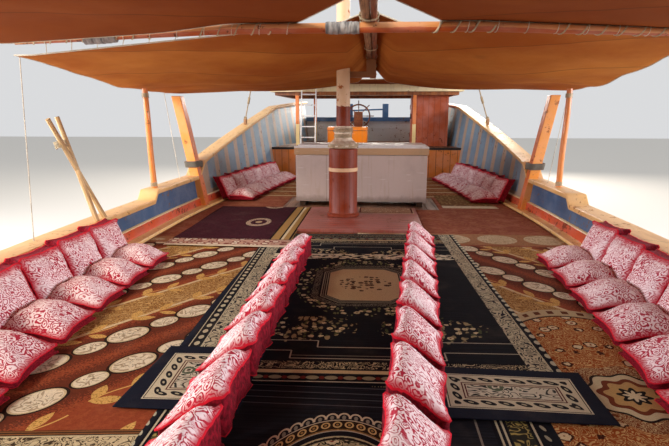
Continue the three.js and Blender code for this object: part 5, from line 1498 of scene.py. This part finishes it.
def wool(name, paint):
    """A dull woven finish."""
    return finish(name, paint, 0.003, {"Roughness": 0.97, "Specular IOR Level": 0.1})


def runner_far_paint(place):
    """Black ground; a cream eight-sided medallion with a dark bouquet, ringed by thin lines and flowers,
    leafy sprays at its corners, stepped lines and figured bands across the ends, beaded borders beside."""
    u, v = on_rug(place, (0.17, -2.05), 2)
    au, av = abs(u), abs(v)
    ring = (au - 0.335) | (av - 0.466) | (au + av - 0.68) * 0.7071
    bouquet = oval(u, v, 0.25, 0.22) + (noise(point(u, v), 9.0, 1) - 0.5) * 0.9
    garland = abs(oval(u, v, 0.6, 0.78) - 1.0) * 0.66
    buds = flowers(u, v, 0.075, 2.0)
    corner = oval(au - 0.5, av - 1.12, 0.42, 0.26) + (noise(point(u, v, 4.0), 5.0, 2) - 0.5) * 0.9
    leafy = cells(mapped(point(u, v), (24, 11, 1), (0, 0, 0.7)), 1.0)
    colour = layered(
        "0e0f16",
        (noise(point(u * 2, v * 60), 1.0, 2).ease(0.4, 0.7) * 0.5, "1c1e28"),
        ((corner < 0.95) * (leafy < 0.3), "4f5433"),
        ((corner < 1.0) * scrolls(u, v, 0.22, 5, 6.0) * (leafy < 0.5), "a4936a"),
        *within(buds, {0.34: "d9c89c", 0.12: "5a2418"}, corner < 0.8),
        ((garland < 0.09) * (leafy < 0.34), "6d7048"),
        *within(buds, {0.36: "cbbd94", 0.12: "3a1a14"}, garland < 0.06),
        (ring < 0.17, "0c0c12"),
        (ring.between(0.1, 0.165) * scrolls(u, v, 0.03, 6), "8d8470"),
        (line(ring, 0.075), "a39a82"),
        (line(ring, 0.055, 0.004), "8a8270"),
        (line(ring, 0.034, 0.004), "a39a82"),
        (ring < 0.018, "c9b088"),
        ((ring < 0.018) * noise(point(u, v), 90, 2).ease(0.5, 0.62) * 0.4, "a58a62"),
        *within(flowers(u, v, 0.062, 3.0), {0.44: "2c1c1c", 0.3: "7a5238", 0.16: "18141a"}, bouquet < 1.0),
    )
    band = av.between(1.87, 1.94)
    colour = layered(
        colour,
        (line(av - (au < 0.36) * 0.11, 1.35), "b9ae98"),
        (line(au, 0.36) * av.between(1.35, 1.46), "b9ae98"),
        (line(av - (au < 0.54) * 0.12, 1.52), "b9ae98"),
        (line(au, 0.54) * av.between(1.52, 1.64), "b9ae98"),
        (line(av, 1.595, 0.004) * (au < 0.54), "8a8272"),
        (av > 1.67, "0c0c12"),
        (av.between(1.685, 1.785) * scrolls(u, v * 0.9, 0.07, 8, 5.0), "c2b08a"),
        (av.between(1.805, 1.85), "cdb68a"),
        (band * (oval(centred(u, 0.12), av - 1.905, 0.042, 0.024) < 1), "8f8468"),
        (band * (oval(centred(u + 0.06, 0.12), av - 1.905, 0.018, 0.02) < 1), "6a2018"),
        (line(av, 1.957), "b9ae98"),
        (av.between(2.0, 2.12) * scrolls(u, v, 0.06, 7, 1.0), "8d7a5c"),
        (av.between(2.14, 2.15), "9a917f"),
        # Painted light: a pale cream stripe across the rug stands in for sun falling through a gap in the
        # awnings.
        (v.between(0.9, 1.12) * noise(point(u * 2, v * 3), 6.0, 2).ease(0.45, 0.52), "ece4c4"),
        (au > 1.06, "c9bf9f"),
        ((au > 1.06) * scrolls(u, v, 0.09, 7, 2.0), "20222a"),
        *past(au, {1.2: "c9bf9f", 1.208: "15161e"}),
        ((au > 1.208) * (oval(centred(v, 0.11), au - 1.25, 0.034, 0.02) < 1), "c9bf9f"),
        *past(au, {1.29: "c9bf9f", 1.298: "141826"}),
    )
    return woven(colour, u, v)


def runner_near_paint(place):
    """Ribbed black ground; a long oval of pale loops, a gold ring of rosettes, and a flowered middle."""
    u, v = on_rug(place, (0.105, -6.04))
    radius = (u * u + v * v).step("SQRT")
    out = radius - radius / oval(u, v, 0.7, 1.68)
    turn = (v / 1.55).step("ARCTAN2", u) * (50 / math.pi)
    loop = centred(turn, 1.0) * 0.068
    loops = line(oval(loop, out + 0.034, 0.032, 0.042), 1, 0.17) * (out > -0.04)
    rose = oval(centred(turn + 0.5, 1.0) * 0.068, out + 0.098, 0.027, 0.029)
    edge = abs(u) | (v * -1.0 - 0.86)
    colour = layered(
        "15161d",
        (noise(point(u * 1.5, v * 70), 1.0, 2).ease(0.35, 0.7) * 0.6, "262833"),
        (loops, "d8cbb0"),
        (oval(loop, out + 0.03, 0.011, 0.02) < 1, "8f8a7c"),
        *within(out, {-0.052: "d8cbb0", -0.06: "8f6a3a"}),
        ((out < -0.06) * noise(point(u, v), 60, 2).ease(0.5, 0.6) * 0.5, "c9a05c"),
        (out.between(-0.138, -0.06), "2a1c14"),
        *within(rose, {1.0: "d8b87c", 0.62: "1c1014", 0.32: "a8824e"}),
        *within(out, {-0.15: "b9b3a6", -0.158: "17171d", -0.2: "c4b893"}),
        ((out < -0.21) * scrolls(u, v, 0.09, 7, 1.0), "4d5238"),
        *within(flowers(u, v, 0.1, 7.0), {0.42: "1c1a1c", 0.34: "e0d4b0", 0.13: "8d2f2a"}, out < -0.24),
        (out.between(-0.232, -0.214), "221a1c"),
        (line(edge, 0.72, 0.006), "8f887a"),
        (edge > 0.8, "101017"),
        (line(edge, 0.83, 0.006), "c9bfa0"),
        (line(edge, 0.86, 0.006), "c9bfa0"),
        (edge.between(0.88, 1.0), "2b2a22"),
        (edge.between(0.885, 0.995) * scrolls(u, v, 0.1, 9, 4.0), "b0a05c"),
        (line(edge, 1.02, 0.006), "c9bfa0"),
        (edge > 1.04, "15161d"),
        ((edge > 1.05) * (oval(centred(u + v, 0.09), edge - 1.07, 0.022, 0.014) < 1), "a8a088"),
        ((v > 1.72) * line(centred(v, 0.068), 0, 0.004), "55575e"),
    )
    return woven(colour, u, v)


def mat_finish(name, centre, half, turn):
    """A mat: navy edge, cream line, cream band of black beads, dark red lines, and a cream scrolled field."""
    def paint(place):
        u, v = on_rug(place, centre, turn)
        inset = (half[0] - abs(u)) & (half[1] - abs(v))
        flower = flowers(u, v, 0.16, 3.0)
        colour = layered(
            "191d2c",
            *past(inset, {0.1: "d8cfb4", 0.108: "2a2622", 0.114: "d2c8aa"}),
            *within(oval(centred(u + v, 0.1), inset - 0.165, 0.036, 0.026), {1.0: "1c1c20", 0.35: "b9b092"},
                    inset > 0.114),
            (inset.between(0.206, 0.214), "5a1a20"),
            (inset.between(0.224, 0.232), "5a1a20"),
            (inset > 0.235, "d6ceb6"),
            ((inset > 0.235) * scrolls(u, v, 0.15, 8, 8.0), "2c2e2c"),
            ((inset > 0.235) * (flower < 0.34), "d6ceb6"),
            ((inset > 0.235) * flower.between(0.16, 0.3), "5c6650"),
            ((inset > 0.235) * (flower < 0.1), "3a2a24"),
        )
        return woven(colour, u, v)
    return wool(name, paint)


def rust_field(x, y, inward):
    """Rust-red field: slanting chains of cream ovals, with gold sprays and speckled bands between them."""
    p = inward * 0.55 + y * 0.83
    q = inward * 0.83 - y * 0.55
    gap = (q / 1.42 - 0.96 / 1.42) % 1 * 1.42
    band = gap.between(0.29, 0.735) * (q < 0.96)
    speck = noise(point(x, y), 75, 2)
    colour = layered(
        "98482c",
        (noise(point(x, y), 26, 4).ease(0.4, 0.7) * 0.5, "b06038"),
        (band, "b07f44"),
        (band * (speck > 0.53), "6a4426"),
        (band * scrolls(p, q, 0.09, 7), "d2aa6c"),
        (band * line(abs(gap - 0.51), 0.2, 0.018), "e2cba0"),
    )
    for start, shift, leaning in ((0.51, 3.694, 0.25), (0.96, 4.546, -0.27)):
        across = centred(q - start, 1.42)
        egg = (oval(centred(p + shift, 0.62), across, 0.15, 0.104)
               & oval(centred(p + shift + 0.3, 0.62), across, 0.108, 0.077))
        spray = centred(p + shift + 0.2, 0.62)
        side_q = across + leaning
        leaves = (leaf(spray, side_q, (-0.24, -0.02), 40, 0.2, 0.045)
                  | leaf(spray, side_q, (-0.22, -0.02), -35, 0.18, 0.04)
                  | leaf(spray, side_q, (0.0, 0.03), 62, 0.16, 0.036)
                  | leaf(spray, side_q, (0.02, 0.0), -20, 0.2, 0.034))
        stem = line(side_q, (spray * 9).step("SINE") * 0.03, 0.006) * (abs(spray) < 0.24)
        colour = layered(
            colour,
            ((abs(across) + speck * 0.5 < 0.43) * 0.75, "54281c"),
            (leaves | stem, "e0b266"),
            (leaves * (speck > 0.57), "a87c3a"),
            *within(egg, {1.22: "2e1e16", 1.08: "d8c49a", 0.98: "efe2c6"}),
            ((egg < 0.95) * scrolls(x, y, 0.12, 5, start) * 0.7, "9d8460"),
            ((egg < 0.6) * (speck > 0.62), "4a3426"),
        )
    return colour


def fore_rug(x, y, bow):
    """Towards the bow: a cream scrolled border, bands of cream flowers and a field of small gold scrolls."""
    bud = flowers(x, y, 0.13, 5.0)
    bands = bow.between(0.55, 1.15) + bow.between(2.0, 2.5)
    return layered(
        "8a5a34",
        (line(centred(bow, 0.022), 0), "3a2a1e"),
        (bow > 0.048, "d8c8a0"),
        ((bow > 0.06) * scrolls(x, y, 0.055, 6, 3.0), "4a3a2a"),
        (bow > 0.19, layered(
            "a84e22",
            (scrolls(x, y, 0.06, 9, 2.0), "c8994e"),
            (bands, "8d4a26"),
            *within(bud, {0.52: "3c2c1e", 0.46: "d6c391"}, bands),
            (bands * (bud < 0.46) * scrolls(x, y, 0.04, 5), "8c7648"),
            (bands * (bud < 0.12), "6a1c1a"),
            (bow.between(0.4, 0.52) + bow.between(1.18, 1.3), "9c4a24"),
        )),
    )


def round_rug(colour, x, y):
    """A round rug laid over the colour: a cream ring of small strokes, gold scrolls and a lobed rosette."""
    u, v = x - 1.83, y + 4.03
    edge = oval(u, v, 0.84, 1.42)
    petal = v.step("ARCTAN2", u)
    rosette = oval(u, v, 0.25, 0.25) + (petal * 8).step("SINE") * 0.07
    return layered(
        colour,
        (edge < 1.0, "c9b48c"),
        (edge.between(0.93, 0.975) * line(centred(petal, 0.09), 0, 0.02), "6a3a22"),
        *within(edge, {0.9: "3a2218", 0.885: "a85424"}),
        ((edge < 0.885) * scrolls(x, y, 0.07, 9, 3.0), "dfb878"),
        *within(flowers(x, y, 0.14, 4.0), {0.34: "4a2216", 0.26: "e6d3a8", 0.1: "8a3a20"}, edge < 0.885),
        (rosette < 1.5, "8a4a28"),
        ((rosette < 1.5) * scrolls(x, y, 0.06, 9, 2.0), "d8c08c"),
        *within(rosette, {1.08: "241812", 1.0: "d9c9a0", 0.78: "7a3a20"}),
        *within(rosette, {0.62: "cba468", 0.34: "1f1a18", 0.2: "e2d2aa"}),
    )


def side_finish(name, side):
    """The rugs down one side: slanting ovals, the fore rug, to port a round one, and plainer ones aft."""
    def paint(place):
        x, y = axes(place)[:2]
        inward = x * -side
        bow = y * -1.0 - (4.75 if side > 0 else 4.47) + inward * 0.1
        colour = mix(bow > 0, rust_field(x, y, inward), fore_rug(x, y, bow))
        if side > 0:
            colour = round_rug(colour, x, y)
            aft_from, midship = -0.4, y.between(-0.33, 0.3)
            egg = oval(centred(x - 1.3, 0.62), y + 0.01, 0.26, 0.26)
        else:
            aft_from, midship = -0.45, y.between(-0.45, -0.12)
            egg = oval(centred(x, 0.34), y + 0.29, 0.14, 0.07)
        beside_mast = layered(
            "96503a",
            (noise(point(x, y), 4.0, 5).ease(0.45, 0.7) * 0.6, "b4735a"),
            (scrolls(x, y, 0.16, 4, 9.0) * 0.25, "c28a5a"),
        )
        aft = layered(
            "8d4a2c",
            (scrolls(x, y, 0.12, 6, 4.0), "b88a56"),
            (line(centred(y, 0.62), 0, 0.03), "dccaa4"),
        )
        colour = layered(
            colour,
            (y > aft_from, beside_mast),
            (midship, "b5825c"),
            (midship * (egg < 1.0), "ddcba6"),
            (midship * scrolls(x, y, 0.1, 6) * 0.5, "8a5f3c"),
            (y > AFT_CARPET_Y - 0.02, aft),
        )
        return woven(colour, x, y)
    return wool(name, paint)


def stripe_paint(place):
    """Maroon ground with cream rings, long stripes of gold, cream and black down one side, and a band of
    cream and pink flowers across its fore end."""
    x, y = axes(place)[:2]
    ring = oval(centred(x + 1.53, 1.2), centred(y - 0.83, 1.5), 0.17, 0.27)
    stripe = x + 1.15
    colour = layered(
        "3c1420",
        (scrolls(x, y, 0.09, 6) * 0.5, "5c2430"),
        (ring.between(0.72, 1.12), "cdb79a"),
        (ring.between(0.72, 1.12) * scrolls(x, y, 0.04, 5), "7a4a44"),
        (ring < 0.3, "b8a07e"),
        (stripe > 0, "b08a50"),
        (stripe.between(0.0, 0.03), "1c1210"),
        (stripe.between(0.14, 0.165), "1c1210"),
        (stripe.between(0.165, 0.2), "dccba2"),
        (stripe.between(0.27, 0.3), "2c1814"),
        (y < -0.3, "c9a08a"),
        *within(flowers(x, y, 0.12, 3.0), {0.5: "8a4a40", 0.34: "eadcc2", 0.14: "a0443c"}, y < -0.3),
        (line(y, -0.32, 0.012), "3a1818"),
        (y < -0.62, "e0cdb0"),
    )
    return woven(colour, x, y)


def strip_paint(place):
    """Buff ground with rows of small brown figures in a dark red border."""
    x, y = axes(place)[:2]
    inset = (0.475 - abs(x - 0.46)) & (0.265 - abs(y - 1.885))
    colour = layered(
        "b08a6a",
        (scrolls(x, y, 0.07, 6) * 0.7, "6a3a2c"),
        (flowers(x, y, 0.09, 6.0) < 0.2, "e0cba8"),
        *within(inset, {0.05: "5c241c", 0.02: "c9a884"}),
    )
    return woven(colour, x, y)


def gold_paint(place):
    """Gold-brown ground with a close small pattern and a cream strip at its fore edge."""
    x, y = axes(place)[:2]
    colour = layered(
        "7d5a34",
        *within(flowers(x, y, 0.07, 3.0), {0.35: "b3915a", 0.12: "5a2a20"}),
        (y < 2.62, "ddcfb2"),
        ((y < 2.62) * scrolls(x, y, 0.05, 5) * 0.5, "a58a62"),
    )
    return woven(colour, x, y)


def rug(name, outline, material, height, ripple, rests_on, *nodes, slot="carpet_dark"):
    """A rug over four corners, two by two: a thin closed sheet with soft ripples."""
    corners = np.array(outline)
    t, s = np.linspace(0, 1, 70)[:, None], np.linspace(0, 1, 50)
    fore_edge, aft_edge = (lerp(corners[a], corners[b], s[:, None]) for a, b in ((0, 1), (3, 2)))
    plan = lerp(fore_edge, aft_edge, t[..., None])
    x, y = plan[..., 0], plan[..., 1]
    sway = 0.006 * np.sin(3.1 * y + 2 * s) * (1 - 2 * s)
    up = ripple * (1 + np.sin(7.3 * x + 2.1 * y) * np.sin(1.7 * y - 0.8 * x))
    points = xyz(x + sway, y, height + up)
    sheet = make(name, [(points, "sheet")], material, slot, *nodes)
    area = thicken(sheet, RUG_PILE, 1.0)


def side_carpet(side, start, end, inner):
    """A carpet from an inner line out to the waterway: its outer edge follows the planking."""
    y = np.linspace(start, end, 160)[:, None]
    outer = inside_at(y, DECK) - 0.217
    x = lerp(np.minimum(inner, outer - 0.01), outer, np.linspace(0, 1, 40))
    up = 0.0008 * (1 + np.sin(5.3 * x + 1.1 * y) * np.sin(2.2 * y - 1.5 * x))
    return xyz(side * x, y, DECK + 0.001 + up), "sheet"


for name, side in SIDES:
    carpet = make("carpet_side_" + name, [
        side_carpet(side, -7.9, 0.29, 0.03),
        side_carpet(side, 0.29, MAST_END_Y, 0.985 if side > 0 else 0.855),
        side_carpet(side, MAST_END_Y, AFT_CARPET_Y, 1.42),
        side_carpet(side, AFT_CARPET_Y, CARPET_END_Y, 0.01),
    ], side_finish("rust_carpet_" + name, side), "carpet_rust", "carpet_" + name)
    area = thicken(carpet, CARPET_PILE, 1.0)

rug("runner_rug_far", [(-1.2, 0.1), (1.36, 0.2), (1.5, -4.02), (-1.14, -4.08)],
    wool("runner_far_wool", runner_far_paint), 1.168, 0.0006, ["main_deck", "runner_rug_near"],
    "carpet_runner")
rug("runner_rug_near", [(-0.96, -3.5), (1.24, -3.5), (1.24, -7.75), (-0.96, -7.75)],
    wool("runner_near_wool", runner_near_paint), 1.1605, 0.0006, ["main_deck"])
rug("mat_starboard", [(-1.2, -3.6), (-0.5, -3.58), (-0.49, -4.4), (-1.22, -4.4)],
    mat_finish("mat_wool_starboard", (-0.85, -4.0), (0.36, 0.4), 2), 1.1755, 0.0008,
    ["carpet_side_starboard", "runner_rug_near"])
rug("mat_port", [(0.6, -3.77), (1.59, -3.79), (1.6, -4.37), (0.6, -4.37)],
    mat_finish("mat_wool_port", (1.1, -4.07), (0.5, 0.3), -1), 1.1755, 0.0008,
    ["carpet_side_port", "runner_rug_near"])
maroon = wool("maroon_wool", stripe_paint)
rug("maroon_rug", [(-2.5, 2.2), (-0.87, 2.2), (-0.83, -0.7), (-2.45, -0.66)], maroon, 1.1765, 0.0012,
    ["carpet_side_starboard", "runner_rug_far"])
rug("gold_carpet", [(1.5, 3.9), (2.3, 3.9), (2.5, 2.4), (1.5, 2.4)],
    wool("gold_wool", gold_paint), 1.162, 0.002, ["main_deck"], slot="carpet_rust")
rug("platform_strip", [(-0.02, 2.15), (0.93, 2.15), (0.93, 1.62), (0.02, 1.62)],
    wool("strip_wool", strip_paint), 1.196, 0.0015, ["mast_platform"])
y = np.linspace(AFT_CARPET_Y, CARPET_END_Y, 60)[:, None]
aft_run = xyz(np.linspace(-0.658, 0.658, 30), y, 1.152 + 0.001 * np.sin(3 * y))
runner_aft = make("carpet_run_aft", [(aft_run, "sheet")], maroon, "carpet_rust", "carpet_aft")
thicken(runner_aft, CARPET_PILE, 1.0)

# Cushions. Each is stuffed hard with cotton, with a damask face, a crimson plush boxing and a brighter piping
# whose corners stand up as ears. They lie in rows, each one's fore end on the after end of the next.
PITCH, AROUND, CARPET_TOP = 0.62, 72, 1.1605
SEAT, BACK, WEDGE = (0.54, 0.6, 0.13), (0.6, 0.5, 0.12), (0.37, 0.6, 0.2)
RINGS = np.array([  # share of the half width, share of the thickness, and place on the cover
    [0.06, 0.0, 0.0], [0.3, 0.0, 0.25], [0.55, 0.0, 0.5], [0.78, 0.01, 0.75], [0.93, 0.04, 0.92],
    [1.0, 0.07, 1.0], [0.985, 0.2, 1.2], [0.99, 0.5, 1.5], [0.985, 0.8, 1.8], [1.0, 0.93, 2.0],
    [0.93, 0.97, 2.08], [0.84, 0.99, 2.18], [0.7, 1.0, 2.32], [0.55, 1.0, 2.5], [0.38, 1.0, 2.7],
    [0.22, 1.0, 2.85], [0.06, 1.0, 3.0],
])
REACH, STEP = RINGS[:, :1], RINGS[:, 2:]
index = np.arange(len(RINGS) * AROUND).reshape(len(RINGS), AROUND)
after = np.roll(index, -1, axis=1)
quads = xyz(index[:-1], after[:-1], after[1:], index[1:]).reshape(-1, 4)
PAD_FACES = [index[0, ::-1].tolist(), *quads.tolist(), index[-1].tolist()]


def pad_form(width, length, thick):
    """A boxed pad: each ring is a square with rounded corners, its sides bowed in a little half way."""
    turn = (np.arange(AROUND) + 0.5) * 2 * np.pi / AROUND
    x, y = np.cos(turn) * squared(turn, 9), np.sin(turn) * squared(turn, 9)
    nearer = np.clip(np.minimum(np.abs(x), np.abs(y)) * 1.02, 0, 1)
    share = REACH * (1 - 0.05 * (1 - nearer**2))
    return xyz(share * x * width / 2, share * y * length / 2, RINGS[:, 1:2] * thick)


def stuffed(form, seed, travel=0.026):
    """The form blown up as cloth under pressure for 20 frames, with no point moved further than travel."""
    mesh = bpy.data.meshes.new("pad_trial")
    rng = np.random.default_rng(seed)
    start = form.reshape(-1, 3) + rng.normal(0, 0.0012, (form.shape[0] * form.shape[1], 3))
    mesh.from_pydata(start, [], PAD_FACES)
    obj = bpy.data.objects.new("pad_trial", mesh)
    bpy.context.scene.collection.objects.link(obj)
    cloth = obj.modifiers.new("stuffing", "CLOTH").settings
    cloth.quality = 6
    cloth.mass = 0.4
    cloth.tension_stiffness = 12
    cloth.compression_stiffness = 12
    cloth.bending_stiffness = 0.3
    cloth.use_pressure = True
    cloth.uniform_pressure_force = 4
    cloth.effector_weights.gravity = 0
    for number in range(1, 21):
        bpy.context.scene.frame_set(number)
    found = obj.evaluated_get(bpy.context.evaluated_depsgraph_get())
    blown = np.empty(len(start) * 3, np.float32)
    found.data.vertices.foreach_get("co", blown)
    moved = blown.reshape(form.shape) - form
    far = np.linalg.norm(moved, axis=-1, keepdims=True)
    bpy.data.objects.remove(obj)
    bpy.context.scene.frame_set(1)
    return form + moved * np.minimum(1, travel / np.maximum(far, 1e-6))


def dressed_pad(form, seed):
    """Wrinkles that run in from the seams and die away, and ears where the piping meets at the corners."""
    rng = np.random.default_rng(seed)
    form = form.copy()
    turn = np.arange(AROUND) * 2 * np.pi / AROUND
    form[..., 2] += 0.042 * np.where(STEP > 2.0, 1 - REACH**2.2, 0)
    gather = sum(np.sin(turn * k + rng.uniform(0, 6.28)) for k in (11, 17, 23, 31))
    near = np.exp(-np.abs(STEP - 2.0) * 5) + np.exp(-np.abs(STEP - 1.0) * 5)
    form[..., 2] += 0.0022 * gather * near * (STEP > 0.2)
    piped = (np.abs(STEP - 2.0) < 0.01) | (np.abs(STEP - 1.0) < 0.01)
    plan = np.abs(form[..., :2])
    corner = smooth(((plan / plan.max((0, 1))).min(-1) - 0.72) / 0.2)
    form[..., :2] *= (1 + piped * (0.03 + 0.05 * corner))[..., None]
    form[..., 2] += np.where(STEP > 1.5, 1, -0.2) * piped * (0.006 + 0.018 * corner)
    return form


def stuffed_pads(size, seed):
    """Three pads of one size, each filled and creased in its own way."""
    return [dressed_pad(stuffed(pad_form(*size), seed + k), seed + k) for k in range(3)]


def pad_paint(place):
    """Damask of red scrolls on white, red plush for a hand's width in from the seams and round the sides,
    and brighter red piping."""
    cover = put("Attribute", {}, tree_of(place), attribute_name="cover", attribute_type="GEOMETRY")
    a, b, step = axes(cover.outputs["Vector"])
    flat = point(a, b)
    face = (step > 2.03) | (step < 0.97)
    piping = (abs(step - 2.0) & abs(step - 1.0)) < 0.045
    bent = noise(flat, 9, 2) * 0.09
    leaves = 1 - abs(cells(point(a + bent, b - bent), 21) * 3.4 % 1 - 0.5).ease(0.12, 0.3)
    flecks = cells(flat, 62).ease(0.2, 0.42)
    thread = noise(point(a * 400, b * 90), 1.0, 2)
    middle = noise(flat, 4.2, 3).ease(0.38, 0.68)
    pattern = leaves * 0.75 + (1 - flecks) * 0.5 + thread * 0.2 - middle * 0.42
    border = 1 - (step + noise(flat, 16, 4) * 0.2).ease(2.14, 2.34)
    damask = mix(border * (step > 1.5) * 0.85, mix(pattern.ease(0.12, 0.8), "f6e2e0", "b2233a"), "c01a32")
    plush = mix(noise(point(a, b, step * 0.12), 60, 3).ease(0.35, 0.7), "5e0614", "9c1228")
    pile = noise(place, 420, 2)
    return mix(face, mix(piping, plush, "da1c30"), damask), face * thread + (1 - face) * pile * 2.0


upholstery = finish("damask_and_plush", pad_paint, 0.0012, {"Roughness": 0.9, "Specular IOR Level": 0.2})


def place_pad(name, form, number, at):
    """One cushion: at(form) puts the pad's own points across, along and up in place."""
    mesh = bpy.data.meshes.new(name)
    mesh.from_pydata(at(form).reshape(-1, 3), [], PAD_FACES)
    cover = xyz(form[..., 0] + number * 3.1, form[..., 1] + number * 1.7, STEP)
    layer = mesh.attributes.new("cover", "FLOAT_VECTOR", "POINT")
    layer.data.foreach_set("vector", cover.astype(np.float32).ravel())
    work = bmesh.new()
    work.from_mesh(mesh)
    bmesh.ops.recalc_face_normals(work, faces=work.faces)
    work.to_mesh(mesh)
    work.free()
    obj = fit_out(shown(name, mesh, upholstery, 0), "boat", "cushion")


def seat_at(side, middle, tilt, twist):
    """Lays a seat pad along the bulwark, turned with its line, its fore end raised on the next pad."""
    def at(form):
        a, b, c = form[..., 0], form[..., 1], np.maximum(form[..., 2], 0.004)
        thin = lerp(0.42, 1.04, smooth((a / SEAT[0] + 0.5) / 0.55))
        thin = thin * lerp(0.55, 1.0, smooth((b / SEAT[1] + 0.5) / 0.4))
        x = side * (inside_at(middle + b, DECK) - 0.555 + a)
        return xyz(x, middle + b + a * twist, CARPET_TOP + c * thin + tilt * (0.31 - b) * 0.5)
    return at


def back_at(side, middle, tilt, lean):
    """Stands a back pad on its edge against the bulwark: along the boat, then up and outboard as it leans."""
    def at(form):
        along, up, out = form[..., 0], form[..., 1] + BACK[1] / 2 + 0.012, form[..., 2]
        y = middle + along
        inward = lerp(0.245, 0.06, np.clip(up / 0.48, 0, 1)) + (out - 0.012) * (1 - lean) + along * 0.1
        z = CARPET_TOP + np.maximum(up * 0.93 + tilt * (0.31 - along) * 0.4, 0.002)
        return xyz(side * (inside_at(y, DECK) - inward), y, z)
    return at


def wedge_at(side, middle, shear, lift):
    """Sets a wedge pad beside the runner: full height on the runner's side, thin on the other."""
    def at(form):
        across, b = (form[..., 0] / WEDGE[0] + 0.5).clip(-0.06, 1.08), form[..., 1]
        height = lerp(1.18, 0.42, smooth((across - 0.15) / 0.95))
        y = middle + b - (across - 0.5) * shear
        foot = 0.475 + (0.09 * (y + 2.7) if side > 0 else 0)
        z = CARPET_TOP + np.maximum(form[..., 2], 0.003) * height + lift * (0.31 - b) * 0.5
        return xyz(side * (foot + across * 0.36), y, z)
    return at


seats, backs, wedges = stuffed_pads(SEAT, 3), stuffed_pads(BACK, 13), stuffed_pads(WEDGE, 23)
for name, side in SIDES:
    waist_end, middle_end = (-0.92, -0.2) if side > 0 else (-1.2, -1.0)
    for i in range(9):
        back = (i + 0.5) * PITCH
        jog = math.sin(i * 2.4 + side) * 0.02
        place_pad(f"seat_cushion_{name}_{i}", seats[i % 3], i, seat_at(side, waist_end - back, 0.08, jog))
        place_pad(f"back_cushion_{name}_{i}", backs[(i + 1) % 3], i + 9,
                  back_at(side, waist_end - back, 0.05 + jog, jog))
        place_pad(f"middle_cushion_{name}_{i}", wedges[i % 3], i + 18,
                  wedge_at(side, middle_end - back, 0.12, 0.06))
    for i in range(6):
        y = 6.6 - (i + 0.5) * PITCH
        jog = math.sin(i * 1.9 + side) * 0.02
        place_pad(f"aft_seat_{name}_{i}", seats[(i + 1) % 3], i + 30, seat_at(side, y, 0.08, jog))
        place_pad(f"aft_back_{name}_{i}", backs[i % 3], i + 40, back_at(side, y, 0.05, jog))
    for first, row in (("seat_cushion", "seat"), ("back_cushion", "back"), ("middle_cushion", "middle"),
                       ("aft_seat", "aft")):
        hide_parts(f"{row}_row_{name}")

# Floor, light and camera. The floor is a pale sheet at the waterline that the boat sits in.
floor_mesh = bpy.data.meshes.new("floor")
floor_mesh.from_pydata([(-60, -60, 0), (60, -60, 0), (60, 60, 0), (-60, 60, 0)], [], [(0, 1, 2, 3)])
floor = bpy.data.objects.new("floor", floor_mesh)
bpy.context.scene.collection.objects.link(floor)
floor_mesh.materials.append(finish("floor_paper", lambda place: ["d3d0ca"], steady={"Roughness": 0.9}))

world = bpy.data.worlds.new("studio")
bpy.context.scene.world = world
world.use_nodes = True
plug(world.node_tree.nodes["Background"].inputs["Color"], "f1f2f4")
plug(world.node_tree.nodes["Background"].inputs["Strength"], 0.8)


def lamp(name, place, target, size, power, colour="fff4e6"):
    """A soft rectangular lamp at a place, turned to a target."""
    light = bpy.data.lights.new(name, "AREA")
    light.shape = "RECTANGLE"
    light.size, light.size_y = size
    light.energy = power
    light.color = shade(colour)
    obj = bpy.data.objects.new(name, light)
    obj.location = place
    aim = np.subtract(target, place)
    flat = math.hypot(aim[0], aim[1])
    obj.rotation_euler = (math.atan2(flat, -aim[2]), 0, math.atan2(-aim[0], aim[1]))
    bpy.context.scene.collection.objects.link(obj)


lamp("sun_side", (-14, -16, 13), (0, -3, 1.5), (7, 7), 5200)
lamp("port_gap", (12, -2, 4.2), (0, -1.5, 1.6), (9, 2.4), 1500, "f4f5ff")
lamp("starboard_gap", (-12, -3, 4.2), (0, -1.5, 1.6), (9, 2.4), 1500, "f4f5ff")
lamp("stern_glow", (2, 19, 7), (0, 3, 1.5), (10, 6), 3200)

lens = bpy.data.cameras.new("foredeck_view")
lens.lens = 27.98
lens.sensor_width = 36
camera = bpy.data.objects.new("foredeck_view", lens)
camera.location = (0.25, -7.0, 2.81)
camera.rotation_euler = (math.radians(90 - 11.73), 0, math.radians(4.36))
bpy.context.scene.collection.objects.link(camera)
bpy.context.scene.camera = camera
bpy.context.scene.view_settings.view_transform = "Standard"
